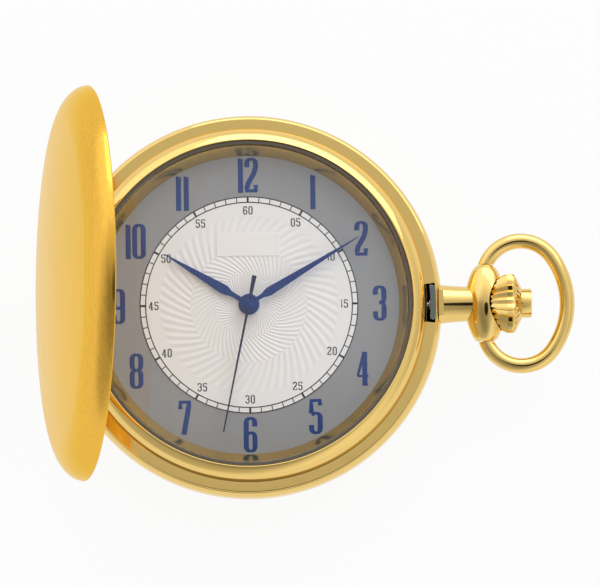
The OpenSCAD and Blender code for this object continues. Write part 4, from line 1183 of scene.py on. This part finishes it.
class BuildBow(bpy.types.Operator):
    """Oval bow: one round wire, spun through three arcs, with a pivot at each end"""
    bl_idname = "watch.bow"
    bl_label = "Bow"

    def execute(self, context):
        size = context.scene.watch_pendant
        # The side arcs run on past the bow's ends, which are then cut square
        overrun = math.radians(12)
        end = math.pi - math.asin((size.bow_end - size.bow_side_y) / size.bow_side)
        side_x = size.head_x - size.bow_side * math.cos(end)
        meet = math.asin(size.bow_side_y / (size.bow_arc - size.bow_side))
        arc_x = side_x - (size.bow_arc - size.bow_side) * math.cos(meet)
        bpy.ops.object.select_all(action="DESELECT")
        bpy.ops.mesh.primitive_circle_add(vertices=48, radius=size.bow_r, fill_type="NGON",
                                          location=(side_x + size.bow_side, size.bow_side_y, STEM_Z),
                                          rotation=(math.pi / 2, 0, 0))
        bow = bpy.context.object
        settle(bow)
        bpy.ops.object.mode_set(mode="EDIT")
        bpy.ops.mesh.select_all(action="SELECT")
        upper, lower = (side_x, size.bow_side_y, STEM_Z), (side_x, -size.bow_side_y, STEM_Z)
        bpy.ops.transform.rotate(value=-end - overrun, orient_axis="Z", center_override=upper)
        side_sweep = end + overrun - meet
        for steps, sweep, centre in ((72, side_sweep, upper), (48, 2 * meet, (arc_x, 0, STEM_Z)),
                                     (72, side_sweep, lower)):
            bpy.ops.mesh.spin(steps=steps, angle=sweep, center=centre, axis=(0, 0, 1))
        close_up(bow, "bow_wire")
        behind, long, tall = 0.75 * MM, 4.5 * MM, 4 * MM
        bpy.ops.mesh.primitive_cube_add(size=1, location=(size.head_x - behind, 0, STEM_Z),
                                        scale=(long, 2 * size.bow_end, tall))
        carve(bow, bpy.context.object)
        round_edges(bow, 0.08 * MM, 3, 40)
        in_head, in_bow = 0.8 * MM, 0.1 * MM
        pin_line = rod(size.bow_pin, HEAD_HALF - in_head, size.bow_end + in_bow)
        pins = [lay(turned("pin", pin_line, steps=48), (size.head_x, 0, STEM_Z), -side * math.pi / 2, "X")
                for side in (-1, 1)]
        weld("bow_wire", bow, *pins)
        smooth(bow)
        mount(bow, "gold", "bow", "bow")
        return {"FINISHED"}


class DressInside(bpy.types.Operator):
    """Gives the solids that are shown as they are the finish of what they are made of"""
    bl_idname = "watch.inside"
    bl_label = "Inside"

    finishes = {
        "gold": ["hinge_pin"],
        "steel": ["lock_spring", "fly_spring", "spring_screws", "stem", "clutch_wheel", "pusher_pin",
                  "release_washer", "setting_lever", "yoke", "bridge_screws"],
        "nickel": ["main_plate"],
        "brass": ["train_bridge", "battery_clamp", "center_wheel", "minute_wheel", "hour_wheel"],
        "cell": ["battery", "quartz_can"],
        "iron": ["stator"],
        "magnet": ["rotor"],
        "copper": ["motor_coil"],
        "board": ["circuit_board"],
        "chip": ["circuit_chip"],
        "acetal": ["movement_ring", "motor_wheel", "seconds_wheel", "third_wheel"],
        "nylon": ["crystal_gasket"],
        "rubber": ["back_gasket", "stem_gasket"],
    }

    def execute(self, context):
        for material, nodes in self.finishes.items():
            for name in nodes:
                dress(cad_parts[name], material)
        return {"FINISHED"}


class BuildStudio(bpy.types.Operator):
    """Pale ground, soft lights and the camera at the picture's viewing angle"""
    bl_idname = "watch.studio"
    bl_label = "Studio"

    def execute(self, context):
        size = context.scene.watch_studio
        lean = Vector((0, -math.sin(size.tilt), math.cos(size.tilt)))
        self.ground(size.paper)
        self.sky(context.scene, lean)
        self.lamp("key", place=(0.25, 0.62, 0.3), spread=(0.9, 0.5), power=1.9)
        self.camera(context.scene, size, lean)
        context.scene.view_settings.view_transform = "Standard"
        return {"FINISHED"}

    @staticmethod
    def ground(paper):
        """Paper under the watch, which shows white and keeps the shadow"""
        breadth, below, shown = 4, 0.05 * MM, 0.92
        bpy.ops.object.select_all(action="DESELECT")
        bpy.ops.mesh.primitive_plane_add(size=breadth, location=(0, 0, -below))
        floor = bpy.context.object
        floor.name = "studio_ground"
        material = finish("studio_paper", paper, 0.0, 0.9)
        path = add_node(material, "LightPath").outputs
        seen = path["Is Camera Ray"]
        for ray in ("Is Transmission Ray", "Is Glossy Ray"):
            seen = add_node(material, "Math", [seen, path[ray]], operation="MAXIMUM")
        share = add_node(material, "Math", [seen, shown], operation="MULTIPLY")
        white = add_node(material, "Emission", {"Color": (1, 1, 1, 1), "Strength": 1.0})
        show_mixed(material, share, shader_of(material), white)
        floor.data.materials.append(material)

    @staticmethod
    def sky(scene, lean):
        """White tent, brighter towards 12 and darker towards 3 o'clock, with the round gap of the lens"""
        world = bpy.data.worlds.new("studio_air")
        scene.world = world
        world.use_nodes = True
        back = world.node_tree.nodes["Background"]
        back.inputs["Color"].default_value = (1, 1, 1, 1)
        way = add_node(world, "TexCoord").outputs["Generated"]
        level = 1.0
        # Each part of the tent has a direction, and passes from its far level to its near one between two
        # cosines of the angle to it
        for direction, start, end, far_level, near_level in (
                ((0.25, 0.88, 0.4), 0.1, 0.85, 1.05, 1.42),
                (lean, 0.6, 0.95, 1.0, 0.55),
                ((0.08, lean.y, lean.z), 0.98, 0.99, 1.0, 0.04),
                ((0.94, 0.34, 0), 0.4, 0.95, 1.0, 0.62),
                ((-0.45, -0.6, 0.66), 0.5, 0.95, 1.0, 0.52)):
            near = add_node(world, "VectorMath", [way, direction], operation="DOT_PRODUCT")
            part = add_node(world, "MapRange", [near, start, end, far_level, near_level],
                            interpolation_type="SMOOTHSTEP")
            level = add_node(world, "Math", [level, part], operation="MULTIPLY")
        seen = add_node(world, "LightPath").outputs["Is Camera Ray"]
        level = add_node(world, "Math", [level, seen], operation="MAXIMUM")
        feed(world, back.inputs["Strength"], level)

    @staticmethod
    def lamp(name, place, spread, power):
        """Rectangular light that faces the watch"""
        bpy.ops.object.light_add(type="AREA", location=place)
        light = bpy.context.object
        light.name = name
        light.data.shape = "RECTANGLE"
        light.data.size, light.data.size_y = spread
        light.data.energy = power
        light.rotation_euler = (-Vector(place)).to_track_quat("-Z", "Y").to_euler()

    @staticmethod
    def camera(scene, size, lean):
        right = Vector((1, 0, 0))
        up = lean.cross(right)
        aim = Vector((0, 0, DIAL_Z)) + size.aim_x * right + size.aim_y * up
        bpy.ops.object.camera_add()
        camera = bpy.context.object
        turn = Matrix((right, up, lean)).transposed().to_4x4() @ Matrix.Rotation(-size.roll, 4, "Z")
        camera.matrix_world = Matrix.Translation(aim + lean * size.reach) @ turn
        camera.data.sensor_width = 36
        camera.data.lens = size.lens
        camera.data.clip_end = 10
        scene.camera = camera


class WatchPanel(bpy.types.Panel):
    """Sizes and colours of the watch, and a button for each piece"""
    bl_idname = "VIEW3D_PT_pocket_watch"
    bl_label = "Pocket watch"
    bl_space_type = "VIEW_3D"
    bl_region_type = "UI"
    bl_category = "Pocket watch"

    def draw(self, context):
        layout = self.layout
        for name, group in GROUPS.items():
            box = layout.box()
            box.label(text=name.replace("_", " "))
            for key in group.__annotations__:
                box.prop(getattr(context.scene, name), key)
        for step in STEPS:
            layout.operator(step.bl_idname)


STEPS = (BuildCase, BuildCover, BuildBezel, BuildDial, BuildHands, BuildPendant, BuildCrown, BuildBow,
         DressInside, BuildStudio)


def register():
    for group in (*GROUPS.values(), *STEPS, WatchPanel):
        bpy.utils.register_class(group)
    for name, group in GROUPS.items():
        setattr(bpy.types.Scene, name, PointerProperty(type=group))


def unregister():
    for name in GROUPS:
        delattr(bpy.types.Scene, name)
    for group in (WatchPanel, *reversed(STEPS), *GROUPS.values()):
        bpy.utils.unregister_class(group)


def main():
    register()
    make_materials()
    for step in STEPS:
        family, name = step.bl_idname.split(".")
        getattr(getattr(bpy.ops, family), name)()


if __name__ == "__main__":
    main()
